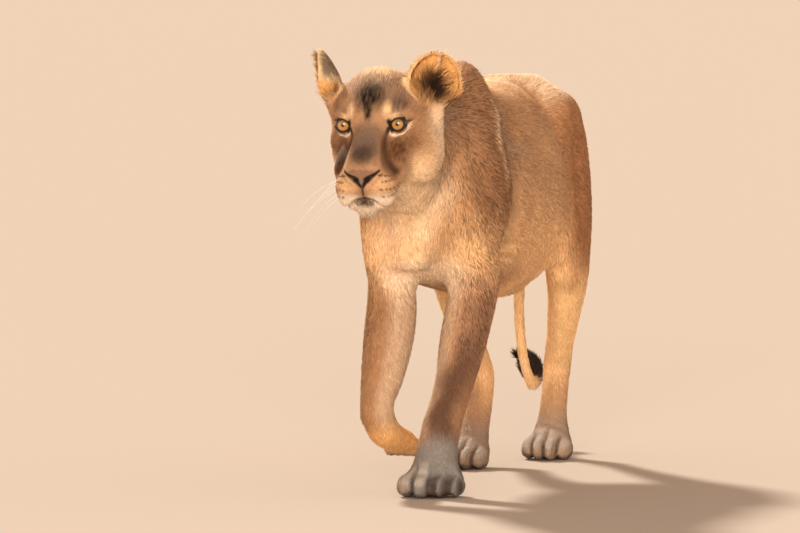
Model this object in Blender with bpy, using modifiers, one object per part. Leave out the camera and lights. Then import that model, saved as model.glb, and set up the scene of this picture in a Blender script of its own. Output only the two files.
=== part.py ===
"""A lioness in mid stride, life size, as a still model parted into the pieces that a person would name.

Run it with: blender --background --python part.py

The plan below is written in shares of the height at the withers, with the animal facing -Y, her left side
at +X and the ground at z = 0. The body is one skin over lofted limbs and rounded muscle masses. It is then
parted by thin cuts into head, neck, trunk, tail and legs.
"""

import math

import bmesh
import bpy
import numpy as np
from mathutils import Euler, Matrix, Vector

# ---------------------------------------------------------------- driving sizes
WITHERS_HEIGHT = 0.96  # metres, from the ground to the top of the shoulder blades
CUT = 0.0005  # metres, the width of the cuts between the pieces
EYE_RADIUS = 0.0195  # metres
GRID = 0.0055  # metres, the grid on which the masses of the body are joined into one skin
EAR_GRID = 0.003
SMOOTHING = 80  # rounds, where the skin is softest
BODY_TRIANGLES = 5400
EAR_TRIANGLES = 340
RIM_SPACING = 0.006  # metres, between the points round a cut
HEAD_CARE = 0.0012  # how much more finely the head is kept than the body

# ---------------------------------------------------------------- the trunk and neck
# Stations from the breast to the rump: y, back line, belly line, half width, how much narrower it is on top,
# and how square the section is (2 is an ellipse).
TRUNK = [
    (-0.230, 0.800, 0.600, 0.060, 0.00, 2.0),
    (-0.180, 0.900, 0.540, 0.098, 0.00, 2.1),
    (-0.090, 0.958, 0.492, 0.124, 0.06, 2.3),
    (0.030, 0.978, 0.464, 0.146, 0.12, 2.3),
    (0.180, 0.946, 0.442, 0.174, 0.12, 2.2),
    (0.340, 0.917, 0.421, 0.197, 0.06, 2.1),
    (0.480, 0.912, 0.408, 0.204, 0.02, 2.0),
    (0.610, 0.922, 0.418, 0.190, 0.02, 2.1),
    (0.730, 0.942, 0.480, 0.162, 0.00, 2.8),
    (0.840, 0.932, 0.570, 0.134, 0.00, 2.7),
    (0.930, 0.888, 0.640, 0.104, 0.00, 2.3),
    (0.985, 0.838, 0.690, 0.062, 0.00, 2.0),
]
# Stations from the skull to the shoulders: x, y, z, half width, half height.
NECK = [
    (-0.010, -0.385, 0.835, 0.098, 0.118),
    (-0.004, -0.300, 0.812, 0.104, 0.150),
    (0.000, -0.200, 0.790, 0.110, 0.176),
    (0.004, -0.100, 0.785, 0.120, 0.185),
    (0.004, 0.020, 0.792, 0.126, 0.178),
]
# ---------------------------------------------------------------- the legs
# Stations down each limb: x, y, z, half width across, half depth fore and aft.
LEFT_FORELEG = [
    (0.112, -0.070, 0.660, 0.060, 0.100),
    (0.110, -0.030, 0.570, 0.060, 0.098),
    (0.105, 0.008, 0.490, 0.060, 0.082),
    (0.098, 0.002, 0.430, 0.060, 0.068),
    (0.086, -0.030, 0.335, 0.056, 0.054),
    (0.077, -0.058, 0.260, 0.048, 0.046),
    (0.067, -0.080, 0.205, 0.045, 0.043),
    (0.056, -0.100, 0.155, 0.047, 0.045),
    (0.050, -0.116, 0.100, 0.049, 0.041),
    (0.051, -0.135, 0.060, 0.057, 0.042),
]
RIGHT_FORELEG = [
    (-0.082, -0.120, 0.660, 0.052, 0.095),
    (-0.078, -0.104, 0.570, 0.052, 0.092),
    (-0.072, -0.072, 0.505, 0.055, 0.080),
    (-0.066, -0.078, 0.440, 0.059, 0.070),
    (-0.064, -0.112, 0.360, 0.060, 0.060),
    (-0.067, -0.160, 0.270, 0.051, 0.050),
    (-0.070, -0.192, 0.220, 0.041, 0.043),
    (-0.067, -0.210, 0.180, 0.040, 0.042),
]
RIGHT_FOREFOOT = [
    (-0.067, -0.205, 0.190, 0.040, 0.040),
    (-0.060, -0.178, 0.152, 0.040, 0.036),
    (-0.054, -0.122, 0.130, 0.040, 0.033),
    (-0.052, -0.070, 0.118, 0.043, 0.031),
]
LEFT_HINDLEG = [
    (0.098, 0.800, 0.770, 0.070, 0.150),
    (0.112, 0.805, 0.650, 0.066, 0.158),
    (0.124, 0.800, 0.540, 0.058, 0.136),
    (0.116, 0.848, 0.430, 0.050, 0.092),
    (0.087, 0.920, 0.330, 0.040, 0.058),
    (0.064, 0.980, 0.265, 0.035, 0.043),
    (0.051, 1.012, 0.220, 0.036, 0.040),
    (0.049, 0.998, 0.160, 0.034, 0.034),
    (0.050, 0.972, 0.100, 0.036, 0.033),
    (0.054, 0.942, 0.060, 0.045, 0.036),
]
RIGHT_HINDLEG = [
    (-0.092, 0.770, 0.770, 0.068, 0.150),
    (-0.108, 0.720, 0.650, 0.064, 0.156),
    (-0.116, 0.655, 0.540, 0.056, 0.130),
    (-0.110, 0.665, 0.430, 0.048, 0.088),
    (-0.100, 0.705, 0.330, 0.038, 0.057),
    (-0.086, 0.748, 0.255, 0.034, 0.044),
    (-0.076, 0.766, 0.205, 0.035, 0.041),
    (-0.070, 0.728, 0.145, 0.034, 0.036),
    (-0.066, 0.680, 0.095, 0.035, 0.034),
    (-0.064, 0.640, 0.058, 0.042, 0.036),
]
# Muscle masses, each an ellipsoid: centre, radii, then its turns about x, y and z in degrees.
MASSES = [
    ((0.092, 0.010, 0.852), (0.067, 0.110, 0.142), (-16, -14, 4)),  # left shoulder blade
    ((-0.076, -0.040, 0.800), (0.056, 0.100, 0.135), (-12, 12, -6)),  # right shoulder blade
    ((0.124, 0.020, 0.690), (0.058, 0.105, 0.160), (12, 0, 0)),  # left triceps
    ((-0.090, -0.045, 0.660), (0.046, 0.095, 0.150), (12, 0, 0)),  # right triceps
    ((0.088, -0.120, 0.690), (0.056, 0.070, 0.110), (0, 0, 0)),  # left point of the shoulder
    ((-0.078, -0.160, 0.690), (0.050, 0.066, 0.110), (0, 0, 0)),  # right point of the shoulder
    ((0.000, -0.145, 0.625), (0.084, 0.088, 0.125), (0, 0, 0)),  # breast
    ((0.115, 0.060, 0.520), (0.040, 0.045, 0.060), (0, 0, 0)),  # left elbow
    ((-0.076, -0.010, 0.530), (0.040, 0.045, 0.060), (0, 0, 0)),  # right elbow
    ((0.084, 0.870, 0.740), (0.072, 0.120, 0.150), (10, 0, 0)),  # left buttock
    ((-0.084, 0.860, 0.740), (0.072, 0.120, 0.150), (8, 0, 0)),  # right buttock
    ((0.108, 0.760, 0.806), (0.064, 0.130, 0.086), (0, 0, 0)),  # left hip
    ((-0.104, 0.745, 0.806), (0.064, 0.130, 0.086), (0, 0, 0)),  # right hip
    ((0.136, 0.700, 0.570), (0.044, 0.080, 0.100), (0, 0, 0)),  # left knee
    ((-0.120, 0.575, 0.570), (0.044, 0.080, 0.100), (0, 0, 0)),  # right knee
    ((0.051, 1.044, 0.245), (0.021, 0.026, 0.034), (0, 0, 0)),  # left heel
    ((-0.076, 0.798, 0.226), (0.021, 0.026, 0.032), (0, 0, 0)),  # right heel
    ((0.000, 0.600, 0.460), (0.090, 0.130, 0.060), (0, 0, 0)),  # loose skin of the belly
]
# ---------------------------------------------------------------- the feet
# Each foot on the ground: the middle of its pad, half width across the toes, turn about z in degrees.
FEET = [(0.049, -0.148, 0.076, 4), (0.057, 0.905, 0.059, 2), (-0.064, 0.600, 0.054, -4)]
TOES = ((-0.72, 0.018), (-0.26, -0.010), (0.26, -0.010), (0.72, 0.018))  # across in half widths, set back
FOLDED_TOES = [((-0.052 + across, -0.036, 0.102), (0.015, 0.034, 0.022), (-32, 0, 8))
               for across in (-0.032, -0.011, 0.011, 0.032)]

# ---------------------------------------------------------------- the tail
# Stations from the root: x, y, z, half width.
TAIL = [
    (0.000, 0.930, 0.825, 0.046),
    (-0.004, 1.000, 0.800, 0.036),
    (-0.020, 1.060, 0.700, 0.028),
    (-0.045, 1.095, 0.580, 0.022),
    (-0.064, 1.110, 0.450, 0.018),
    (-0.070, 1.115, 0.330, 0.016),
    (-0.064, 1.130, 0.230, 0.015),
    (-0.056, 1.165, 0.168, 0.016),
    (-0.060, 1.215, 0.160, 0.022),
    (-0.074, 1.255, 0.182, 0.030),
    (-0.092, 1.268, 0.204, 0.026),
    (-0.112, 1.266, 0.218, 0.008),
]
# ---------------------------------------------------------------- the head
# The head has its own axes, with their origin midway between the eyes. It is turned and lowered as a whole.
HEAD_PLACE = (-0.009, -0.455, 0.8505)
HEAD_TURN = 2.7  # degrees to her left
HEAD_DROP = 17.5  # degrees nose down
HEAD_TILT = 1.5  # degrees, left ear up
# Stations from the back of the skull to the nose: y, top, bottom, half width, narrowing on top, squareness.
SKULL = [
    (0.165, 0.062, -0.124, 0.100, 0.04, 2.1),
    (0.120, 0.089, -0.142, 0.112, 0.06, 2.3),
    (0.070, 0.096, -0.148, 0.112, 0.08, 2.3),
    (0.030, 0.080, -0.148, 0.098, 0.10, 2.4),
    (0.004, 0.056, -0.146, 0.080, 0.12, 2.5),
]
MUZZLE = [
    (0.020, 0.064, -0.130, 0.062, 0.22, 2.4),
    (-0.030, 0.033, -0.142, 0.050, 0.26, 2.6),
    (-0.080, 0.004, -0.145, 0.053, 0.18, 2.8),
    (-0.125, -0.018, -0.140, 0.054, 0.10, 2.8),
    (-0.152, -0.036, -0.126, 0.044, 0.04, 2.7),
]
HEAD_MASSES = [
    ((0.036, -0.110, -0.103), (0.037, 0.054, 0.047), (0, 0, 8)),  # left whisker pad
    ((-0.034, -0.110, -0.102), (0.036, 0.054, 0.046), (0, 0, -8)),  # right whisker pad
    ((0.000, -0.102, -0.144), (0.042, 0.048, 0.032), (0, 0, 0)),  # chin
    ((0.000, -0.035, -0.132), (0.064, 0.095, 0.033), (0, 0, 0)),  # lower jaw
    ((0.044, -0.026, -0.070), (0.044, 0.088, 0.056), (10, 0, 12)),  # left upper jaw
    ((-0.042, -0.026, -0.070), (0.042, 0.088, 0.056), (10, 0, -12)),  # right upper jaw
    ((0.086, 0.064, -0.078), (0.058, 0.090, 0.084), (0, 0, 12)),  # left cheek
    ((-0.062, 0.058, -0.078), (0.040, 0.080, 0.078), (0, 0, -12)),  # right cheek
    ((0.094, 0.104, -0.034), (0.046, 0.066, 0.066), (0, 0, 10)),  # left side whiskers
    ((0.070, 0.022, -0.036), (0.040, 0.052, 0.036), (0, 0, 0)),  # left cheekbone
    ((-0.068, 0.022, -0.036), (0.038, 0.052, 0.036), (0, 0, 0)),  # right cheekbone
    ((0.052, 0.012, 0.034), (0.036, 0.034, 0.023), (0, 0, 0)),  # left brow
    ((-0.052, 0.012, 0.034), (0.036, 0.034, 0.023), (0, 0, 0)),  # right brow
    ((0.070, 0.050, 0.006), (0.040, 0.058, 0.052), (0, 0, 0)),  # left temple
    ((-0.070, 0.056, 0.004), (0.038, 0.058, 0.052), (0, 0, 0)),  # right temple
]
EYE_PLACE = (0.0615, -0.012, 0.006)
# Each ear: middle of the cup, then its turns about x, y and z in degrees. The right one is swung round.
EARS = {"left": ((0.124, 0.100, 0.060), (-14, 14, 24)), "right": ((-0.123, 0.100, 0.070), (4, -30, -80))}
EAR_RADII = (0.064, 0.036, 0.071)
EAR_HOLLOW = 0.86  # the hollow's size as a share of the ear's
EAR_DEEPER = 0.5  # how much deeper the ear is at its root than at its middle

MATERIALS = {  # colour and roughness
    "coat": ((0.58, 0.38, 0.21, 1), 0.85),
    "tuft": ((0.10, 0.07, 0.05, 1), 0.9),
    "eye": ((0.62, 0.38, 0.08, 1), 0.08),
}


# ---------------------------------------------------------------- the cuts between the pieces
# Each cut is a thin slab: its middle, its two spans in its own plane, and its turns about x, y and z in degrees.
# An upright slab lies in x and z before its turns, and a level one in x and y.
UPRIGHT_CUTS = [
    ((0.000, -0.318, 0.810), (0.60, 0.50), (-8, 0, 3)),  # head from neck
    ((0.000, -0.180, 0.810), (0.60, 0.62), (-22, 0, 0)),  # neck from shoulders
    ((0.000, 0.215, 0.700), (0.60, 0.70), (0, 0, 0)),  # shoulders from barrel
    ((0.000, 0.535, 0.700), (0.60, 0.70), (0, 0, 24)),  # barrel from hips
    ((-0.055, -0.166, 0.146), (0.13, 0.18), (-28, 0, 12)),  # right forearm from its folded foot
    ((-0.058, 1.195, 0.165), (0.10, 0.12), (0, 0, 0)),  # tail from its tuft
]
LEVEL_CUTS = [
    ((0.105, 0.000, 0.447), (0.19, 0.26), (-6, 0, 0)),  # left foreleg from shoulders
    ((-0.068, -0.075, 0.452), (0.17, 0.24), (0, 0, 0)),  # right foreleg from shoulders
    ((0.058, -0.092, 0.172), (0.14, 0.15), (10, 0, 0)),  # left forearm from its foot
    ((0.120, 0.830, 0.480), (0.30, 0.54), (16, -41, 0)),  # left hind leg from hips
    ((-0.115, 0.720, 0.480), (0.30, 0.46), (16, 41, 0)),  # right hind leg from hips
    ((0.062, 0.990, 0.262), (0.17, 0.20), (0, 0, 0)),  # left shank from its foot
    ((-0.084, 0.755, 0.246), (0.15, 0.18), (0, 0, 0)),  # right shank from its foot
    ((-0.020, 1.075, 0.700), (0.14, 0.13), (0, 0, 0)),  # tail from hips
]
# The pieces, each found by the point nearest its middle.
PIECES = {
    "head": (0.00, -0.45, 0.82),
    "neck": (0.00, -0.24, 0.80),
    "shoulders": (0.00, 0.02, 0.70),
    "barrel": (0.00, 0.38, 0.67),
    "hips": (0.00, 0.76, 0.70),
    "foreleg_left": (0.09, -0.03, 0.31),
    "forefoot_left": (0.05, -0.14, 0.09),
    "foreleg_right": (-0.07, -0.15, 0.30),
    "forefoot_right": (-0.04, -0.10, 0.11),
    "hindleg_left": (0.11, 0.90, 0.40),
    "hindfoot_left": (0.05, 0.95, 0.12),
    "hindleg_right": (-0.11, 0.68, 0.40),
    "hindfoot_right": (-0.07, 0.66, 0.10),
    "tail": (-0.05, 1.12, 0.42),
    "tail_tuft": (-0.08, 1.24, 0.19),
}

# ---------------------------------------------------------------- shapes
def smooth_rows(rows, per_span=5):
    """Rows of numbers joined by a Catmull-Rom curve, with per_span steps between two of them."""
    rows = np.array(rows, float)
    ends = np.vstack([2 * rows[0] - rows[1], rows, 2 * rows[-1] - rows[-2]])
    steps = np.arange(per_span)[:, None] / per_span
    spans = []
    for before, start, end, after in zip(ends, ends[1:], ends[2:], ends[3:]):
        spans.append(
            start
            + 0.5 * steps * (end - before)
            + 0.5 * steps**2 * (2 * before - 5 * start + 4 * end - after)
            + 0.5 * steps**3 * (3 * start - 3 * end + after - before)
        )
    return np.vstack(spans + [rows[-1:]])


def loft(form, stations, sides=24, round_end=0.7):
    """Adds a closed tube to form. Each station is a centre, its two half sizes, narrowing on top, squareness.

    The first half size runs along x as nearly as the tube's course allows. Both ends are rounded off.
    """
    stations = smooth_rows(stations)
    centres = stations[:, :3]
    courses = np.gradient(centres, axis=0)
    courses /= np.linalg.norm(courses, axis=1)[:, None]
    rings = []
    for angle in (0.35, 0.8, 1.2):  # the rounded start, in radians back from its rim
        rings.insert(0, (centres[0] - courses[0] * round_end * stations[0, 3] * math.sin(angle),
                         courses[0], stations[0, 3:], math.cos(angle)))
    rings += [(c, t, s, 1.0) for c, t, s in zip(centres, courses, stations[:, 3:])]
    for angle in (0.35, 0.8, 1.2):
        rings.append((centres[-1] + courses[-1] * round_end * stations[-1, 3] * math.sin(angle),
                      courses[-1], stations[-1, 3:], math.cos(angle)))
    turns = np.linspace(0, 2 * math.pi, sides, endpoint=False)
    made = []
    upward = np.array([0, -0.01, 1.0])
    for centre, course, (width, depth, narrowing, square), share in rings:
        across = np.array([1.0, 0, 0]) - course * course[0]
        across /= np.linalg.norm(across)
        up = np.cross(across, course)
        up *= 1 if up @ upward > 0 else -1
        upward = up
        power = 2 / square
        cosines = np.sign(np.cos(turns)) * np.abs(np.cos(turns)) ** power
        sines = np.sign(np.sin(turns)) * np.abs(np.sin(turns)) ** power
        cosines = cosines * (1 - narrowing * sines)
        points = centre + share * (np.outer(cosines * width, across) + np.outer(sines * depth, up))
        made.append([form.verts.new(point) for point in points])
    for ring, after in zip(made, made[1:]):
        for i in range(sides):
            form.faces.new((ring[i - 1], ring[i], after[i], after[i - 1]))
    form.faces.new(made[0])
    form.faces.new(made[-1])


def tube(form, stations, sides=24):
    """Adds a loft whose stations are x, y, z, half width and, if it isn't round, half depth."""
    loft(form, [(*s[:4], s[4] if len(s) > 4 else s[3], 0, 2) for s in stations], sides)


def barrel(form, stations, sides=32):
    """Adds a loft along y whose stations are y, top, bottom, half width, narrowing and squareness."""
    loft(form, [(0, y, (top + low) / 2, wide, (top - low) / 2, thin, square)
                for y, top, low, wide, thin, square in stations], sides, round_end=0.3)


def placed(centre, turns):
    """The matrix that turns a shape about x, y and z, in degrees, and then moves it to centre."""
    return Matrix.Translation(centre) @ Euler([math.radians(t) for t in turns]).to_matrix().to_4x4()


def mass(form, centre, radii, turns=(0, 0, 0)):
    """Adds an ellipsoid to form."""
    made = bmesh.ops.create_uvsphere(form, u_segments=24, v_segments=16, radius=1)
    bmesh.ops.transform(form, matrix=placed(centre, turns) @ Matrix.Diagonal((*radii, 1)), verts=made["verts"])


def new_object(name, form, scale=1.0):
    """Turns form into an object, with its faces pointing out."""
    bmesh.ops.recalc_face_normals(form, faces=form.faces)
    bmesh.ops.scale(form, vec=(scale,) * 3, verts=form.verts)
    mesh = bpy.data.meshes.new(name)
    form.to_mesh(mesh)
    form.free()
    made = bpy.data.objects.new(name, mesh)
    bpy.context.scene.collection.objects.link(made)
    return made


def evaluated(source, name):
    """A new object with the mesh that source has after its modifiers. The source is removed."""
    graph = bpy.context.evaluated_depsgraph_get()
    mesh = bpy.data.meshes.new_from_object(source.evaluated_get(graph))
    mesh.name = name
    bpy.data.objects.remove(source)
    made = bpy.data.objects.new(name, mesh)
    bpy.context.scene.collection.objects.link(made)
    return made


def head_axes():
    """The matrix that takes the head's own axes to the body's."""
    return placed(HEAD_PLACE, (HEAD_DROP, -HEAD_TILT, HEAD_TURN))


def foot(form, x, y, width, turn, toe_length=0.040):
    """Adds a foot's pad and its four toes, which point along -y before the turn."""
    facing = Matrix.Translation((x, y, 0)) @ Matrix.Rotation(math.radians(turn), 4, "Z")
    mass(form, facing @ Vector((0, 0.012, 0.036)), (width * 0.92, 0.058, 0.040), (12, 0, turn))
    for across, back in TOES:
        centre = facing @ Vector((across * width, back - 0.036, 0.024))
        mass(form, centre, (width * 0.33, toe_length, 0.029), (10, 0, turn))


def ear(form, centre, turns):
    """Adds a cupped ear, which opens along -y before its turns and is deepest at its root."""
    cup = bmesh.new()
    mass(cup, (0, 0, 0), EAR_RADII)
    outer = new_object("ear_outer", cup)
    hollow = bmesh.new()
    mass(hollow, (0, -EAR_RADII[1] * 0.62, -EAR_RADII[2] * 0.02), [r * EAR_HOLLOW for r in EAR_RADII])
    inner = new_object("ear_hollow", hollow)
    cut = outer.modifiers.new("hollow", "BOOLEAN")
    cut.operation = "DIFFERENCE"
    cut.object = inner
    shell = evaluated(outer, "ear_shell")
    bpy.data.objects.remove(inner)
    for vertex in shell.data.vertices:
        vertex.co.y *= 1 - EAR_DEEPER * vertex.co.z / EAR_RADII[2]
    shell.data.transform(head_axes() @ placed(centre, turns))
    form.from_mesh(shell.data)
    bpy.data.objects.remove(shell)


def masses_of_body():
    """Every mass of the body, in shares of the withers' height, as one form of overlapping closed shapes."""
    form = bmesh.new()
    barrel(form, TRUNK)
    tube(form, NECK, sides=32)
    for limb in (LEFT_FORELEG, RIGHT_FORELEG, RIGHT_FOREFOOT, LEFT_HINDLEG, RIGHT_HINDLEG, TAIL):
        tube(form, limb)
    for muscle in MASSES + FOLDED_TOES:
        mass(form, *muscle)
    for place in FEET:
        foot(form, *place)
    head = bmesh.new()
    barrel(head, SKULL)
    barrel(head, MUZZLE)
    for muscle in HEAD_MASSES:
        mass(head, *muscle)
    bmesh.ops.transform(head, matrix=head_axes(), verts=head.verts)
    spare = bpy.data.meshes.new("spare")
    head.to_mesh(spare)
    head.free()
    form.from_mesh(spare)
    bpy.data.meshes.remove(spare)
    return form


def softness(points):
    """How much of the smoothing each point takes: all of it on the trunk, and less on the limbs and the head."""
    x, y, z = points.T / WITHERS_HEIGHT
    trunk = np.clip((z - 0.46) / 0.12, 0, 1) * np.clip((1.02 - y) / 0.06, 0, 1)
    legs = np.clip((z - 0.10) / 0.10, 0, 1)
    share = 0.03 + 0.10 * legs + 0.87 * trunk
    head = np.clip((-0.26 - y) / 0.10, 0, 1)
    tail = np.clip((y - 1.03) / 0.04, 0, 1) * np.clip((np.abs(x - 0.05) - 0.055) / 0.01, 0, 1)
    share = share * (1 - head) + 0.24 * head
    return share * (1 - tail) + 0.03 * tail


def weigh(item, name, weights):
    """Gives item a vertex group of these weights, in steps of a fortieth."""
    group = item.vertex_groups.new(name=name)
    steps = np.round(np.asarray(weights) * 40).astype(int)
    for step in np.unique(steps):
        group.add(np.flatnonzero(steps == step).tolist(), step / 40, "REPLACE")


def points_of(item):
    """The places of the item's vertices, one in a row."""
    points = np.empty(len(item.data.vertices) * 3)
    item.data.vertices.foreach_get("co", points)
    return points.reshape(-1, 3)


def skinned(item, voxel, rounds, triangles, soft=None, keep=None):
    """The item's masses as one skin: joined on a grid, smoothed where soft says, and thinned to triangles."""
    name = item.name
    remesh = item.modifiers.new("join", "REMESH")
    remesh.mode = "VOXEL"
    remesh.voxel_size = voxel
    item = evaluated(item, name)
    points = points_of(item)
    weigh(item, "soft", soft(points) if soft else np.full(len(points), 1.0))
    weigh(item, "thin", keep(points) if keep else np.full(len(points), 1.0))
    smooth = item.modifiers.new("blend", "SMOOTH")
    smooth.factor = 1.0
    smooth.iterations = rounds
    smooth.vertex_group = "soft"
    thin = item.modifiers.new("thin", "DECIMATE")
    thin.ratio = triangles / (2 * len(item.data.polygons))
    thin.vertex_group = "thin"
    thin.vertex_group_factor = HEAD_CARE
    thin.use_collapse_triangulate = True
    return evaluated(item, name)


def bare(points):
    """How freely the skin may be thinned: fully on the body, less on the head and the feet."""
    x, y, z = points.T / WITHERS_HEIGHT
    head = np.clip((-0.28 - y) / 0.04, 0, 1)
    feet = np.clip((0.10 - z) / 0.03, 0, 1)
    return 1 - 0.5 * np.maximum(head, 0.35 * feet)


def cut_away(item, cutter):
    """Takes the cutter's shape out of the item."""
    name = item.name
    cut = item.modifiers.new("cut", "BOOLEAN")
    cut.operation = "DIFFERENCE"
    cut.solver = "EXACT"
    cut.object = cutter
    return evaluated(item, name)


def cutter_from(name, form, scale=1.0):
    """An object that only cuts, kept out of the model."""
    made = new_object(name, form, scale)
    made.hide_render = True
    made.display_type = "WIRE"
    move_to(made, collection("cutters"))
    return made


def slab(name, centre, size, turns=(0, 0, 0)):
    """A box that cuts, in shares of the withers' height."""
    form = bmesh.new()
    bmesh.ops.create_cube(form, size=1)
    bmesh.ops.transform(form, matrix=placed(centre, turns) @ Matrix.Diagonal((*size, 1)), verts=form.verts)
    return cutter_from("cut_" + name, form, WITHERS_HEIGHT)


def ball(centre, radius):
    """A sphere as a form, in metres."""
    form = bmesh.new()
    bmesh.ops.create_uvsphere(form, u_segments=16, v_segments=10, radius=radius)
    bmesh.ops.translate(form, vec=centre, verts=form.verts)
    return form


def loose_parts(item):
    """The item's separate bodies, each as an object."""
    bpy.ops.object.select_all(action="DESELECT")
    item.select_set(True)
    bpy.context.view_layer.objects.active = item
    bpy.ops.mesh.separate(type="LOOSE")
    return list(bpy.context.selected_objects)


def volume_of(item):
    """The volume that the item's surface holds."""
    form = bmesh.new()
    form.from_mesh(item.data)
    volume = abs(form.calc_volume())
    form.free()
    return volume


def keep_largest(item):
    """Leaves only the largest of the item's bodies."""
    name = item.name
    bodies = sorted(loose_parts(item), key=volume_of)
    for body in bodies[:-1]:
        bpy.data.objects.remove(body)
    bodies[-1].name = name
    return bodies[-1]


def thin_rims(item):
    """Merges the close points round the flat cuts above the ground, which stay flat."""
    form = bmesh.new()
    form.from_mesh(item.data)
    for face in [face for face in form.faces if len(face.verts) > 12 and face.calc_center_median().z > RIM_SPACING]:
        bmesh.ops.remove_doubles(form, verts=face.verts, dist=RIM_SPACING)
    form.to_mesh(item.data)
    form.free()


def collection(name):
    """The collection of this name, made the first time it is asked for."""
    found = bpy.data.collections.get(name)
    if found is None:
        found = bpy.data.collections.new(name)
        bpy.context.scene.collection.children.link(found)
    return found


def move_to(item, group):
    """Leaves the item in this collection only."""
    for old in list(item.users_collection):
        old.objects.unlink(item)
    group.objects.link(item)


def material(name):
    """The material of this name, made the first time it is asked for."""
    found = bpy.data.materials.get(name)
    if found is None:
        colour, roughness = MATERIALS[name]
        found = bpy.data.materials.new(name)
        found.use_nodes = True
        shader = found.node_tree.nodes["Principled BSDF"]
        shader.inputs["Base Color"].default_value = colour
        shader.inputs["Roughness"].default_value = roughness
        shader.inputs["Metallic"].default_value = 0
    return found


def make_body():
    """The body from nose to tail in one skin, without its ears."""
    whole = new_object("body", masses_of_body(), WITHERS_HEIGHT)
    return skinned(whole, GRID, SMOOTHING, BODY_TRIANGLES, softness, bare)


def make_eyes(head):
    """Both eyeballs, and the head with a socket around each."""
    eyes = []
    for side, sign in (("left", 1), ("right", -1)):
        centre = head_axes() @ Vector((sign * EYE_PLACE[0], *EYE_PLACE[1:])) * WITHERS_HEIGHT
        eyes.append(new_object("eye_" + side, ball(centre, EYE_RADIUS)))
        head = cut_away(head, cutter_from("socket_" + side, ball(centre, EYE_RADIUS + CUT)))
    return eyes, head


def make_ears(body):
    """Both ears, each cut to sit on the head with a thin gap."""
    form = bmesh.new()
    form.from_mesh(body.data)
    for vertex in form.verts:
        vertex.co += vertex.normal * CUT
    head = cutter_from("head_and_gap", form)
    ears = []
    for side, place in EARS.items():
        form = bmesh.new()
        ear(form, *place)
        whole = skinned(new_object("ear_" + side, form, WITHERS_HEIGHT), EAR_GRID, 6, EAR_TRIANGLES)
        ears.append(keep_largest(cut_away(whole, head)))
    return ears


def part(body):
    """The body cut into its named pieces, with the soles pressed flat."""
    body = cut_away(body, slab("ground", (0, 0.4, -0.1), (1, 3, 0.2)))
    thin = CUT / WITHERS_HEIGHT
    for number, (centre, (wide, tall), turns) in enumerate(UPRIGHT_CUTS):
        body = cut_away(body, slab(f"upright_{number}", centre, (wide, thin, tall), turns))
    for number, (centre, (wide, long), turns) in enumerate(LEVEL_CUTS):
        body = cut_away(body, slab(f"level_{number}", centre, (wide, long, thin), turns))
    pieces = []
    for piece in loose_parts(body):
        points = points_of(piece) / WITHERS_HEIGHT
        middle = (points.min(0) + points.max(0)) / 2
        piece.name = min(PIECES, key=lambda name: np.linalg.norm(middle - PIECES[name]))
        thin_rims(piece)
        pieces.append(piece)
    return pieces


def main():
    for old in list(bpy.data.objects):
        bpy.data.objects.remove(old)
    body = make_body()
    ears = make_ears(body)
    pieces = part(body)
    eyes, head = make_eyes(pieces.pop([piece.name for piece in pieces].index("head")))
    pieces += [head] + ears + eyes
    points = np.vstack([points_of(piece) for piece in pieces])
    low, high = points.min(0), points.max(0)
    lift = -Vector(((low[0] + high[0]) / 2, (low[1] + high[1]) / 2, low[2]))
    for piece in pieces:
        piece.data.transform(Matrix.Translation(lift))
        kind = "eye" if piece.name.startswith("eye") else "tuft" if piece.name == "tail_tuft" else "coat"
        piece.data.materials.clear()
        piece.data.materials.append(material(kind))
        move_to(piece, collection("lioness"))


main()
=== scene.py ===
"""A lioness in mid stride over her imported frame: one skin with its markings, eyes, a coat of locks, whiskers.

The plan of her body is written in shares of the height at the withers, as she walks towards -Y with her left
side at +X and the ground at z = 0. Tables of whole numbers are thousandths of that. Colours are linear.
"""

import math

import bmesh
import bpy
import numpy as np
from mathutils import Euler, Matrix, Vector
from mathutils.bvhtree import BVHTree


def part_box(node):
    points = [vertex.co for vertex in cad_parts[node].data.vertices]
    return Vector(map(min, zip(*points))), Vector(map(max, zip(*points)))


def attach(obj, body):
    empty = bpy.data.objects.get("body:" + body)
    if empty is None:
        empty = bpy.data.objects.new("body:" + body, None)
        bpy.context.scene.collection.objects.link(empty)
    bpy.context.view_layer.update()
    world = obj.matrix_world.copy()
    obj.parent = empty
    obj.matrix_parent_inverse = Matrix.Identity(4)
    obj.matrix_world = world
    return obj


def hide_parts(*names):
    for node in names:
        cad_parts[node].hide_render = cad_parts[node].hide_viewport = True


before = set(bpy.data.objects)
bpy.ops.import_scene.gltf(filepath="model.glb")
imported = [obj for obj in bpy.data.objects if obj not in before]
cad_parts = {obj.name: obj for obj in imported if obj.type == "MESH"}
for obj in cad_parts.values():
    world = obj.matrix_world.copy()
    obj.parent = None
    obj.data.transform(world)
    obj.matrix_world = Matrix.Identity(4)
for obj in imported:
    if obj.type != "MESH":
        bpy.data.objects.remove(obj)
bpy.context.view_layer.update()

# ---------------------------------------------------------------- driving sizes
WITHERS_HEIGHT = 0.96  # metres, from the ground to the top of the shoulder blades
EYE_RADIUS = 0.0195  # metres
GRID = 0.0055  # metres, the grid on which the masses of the body are joined into one skin
EAR_GRID = 0.0025
SKIN_GRID = 0.0032  # metres, the grid on which the body and the ears become one skin
SMOOTHING = 80  # rounds, where the skin is softest
SKIN_TRIANGLES = 118000
EAR_WALL = 0.1  # the ear's wall as a share of its radii
EAR_MOUTH = 0.45  # how far forward the ear's rim stands, as a share of its half depth
SHORT_LOCKS, SHORT_PIECES = 176000, 7
LONG_LOCKS, LONG_PIECES = 26000, 2
PATCH = 0.003  # each lock's size on the unwrap
COAT_SEED, WHISKER_SEED, NOISE_SEED = 11, 3, 7
FACE_START = -0.36  # how far forward the face begins


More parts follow.
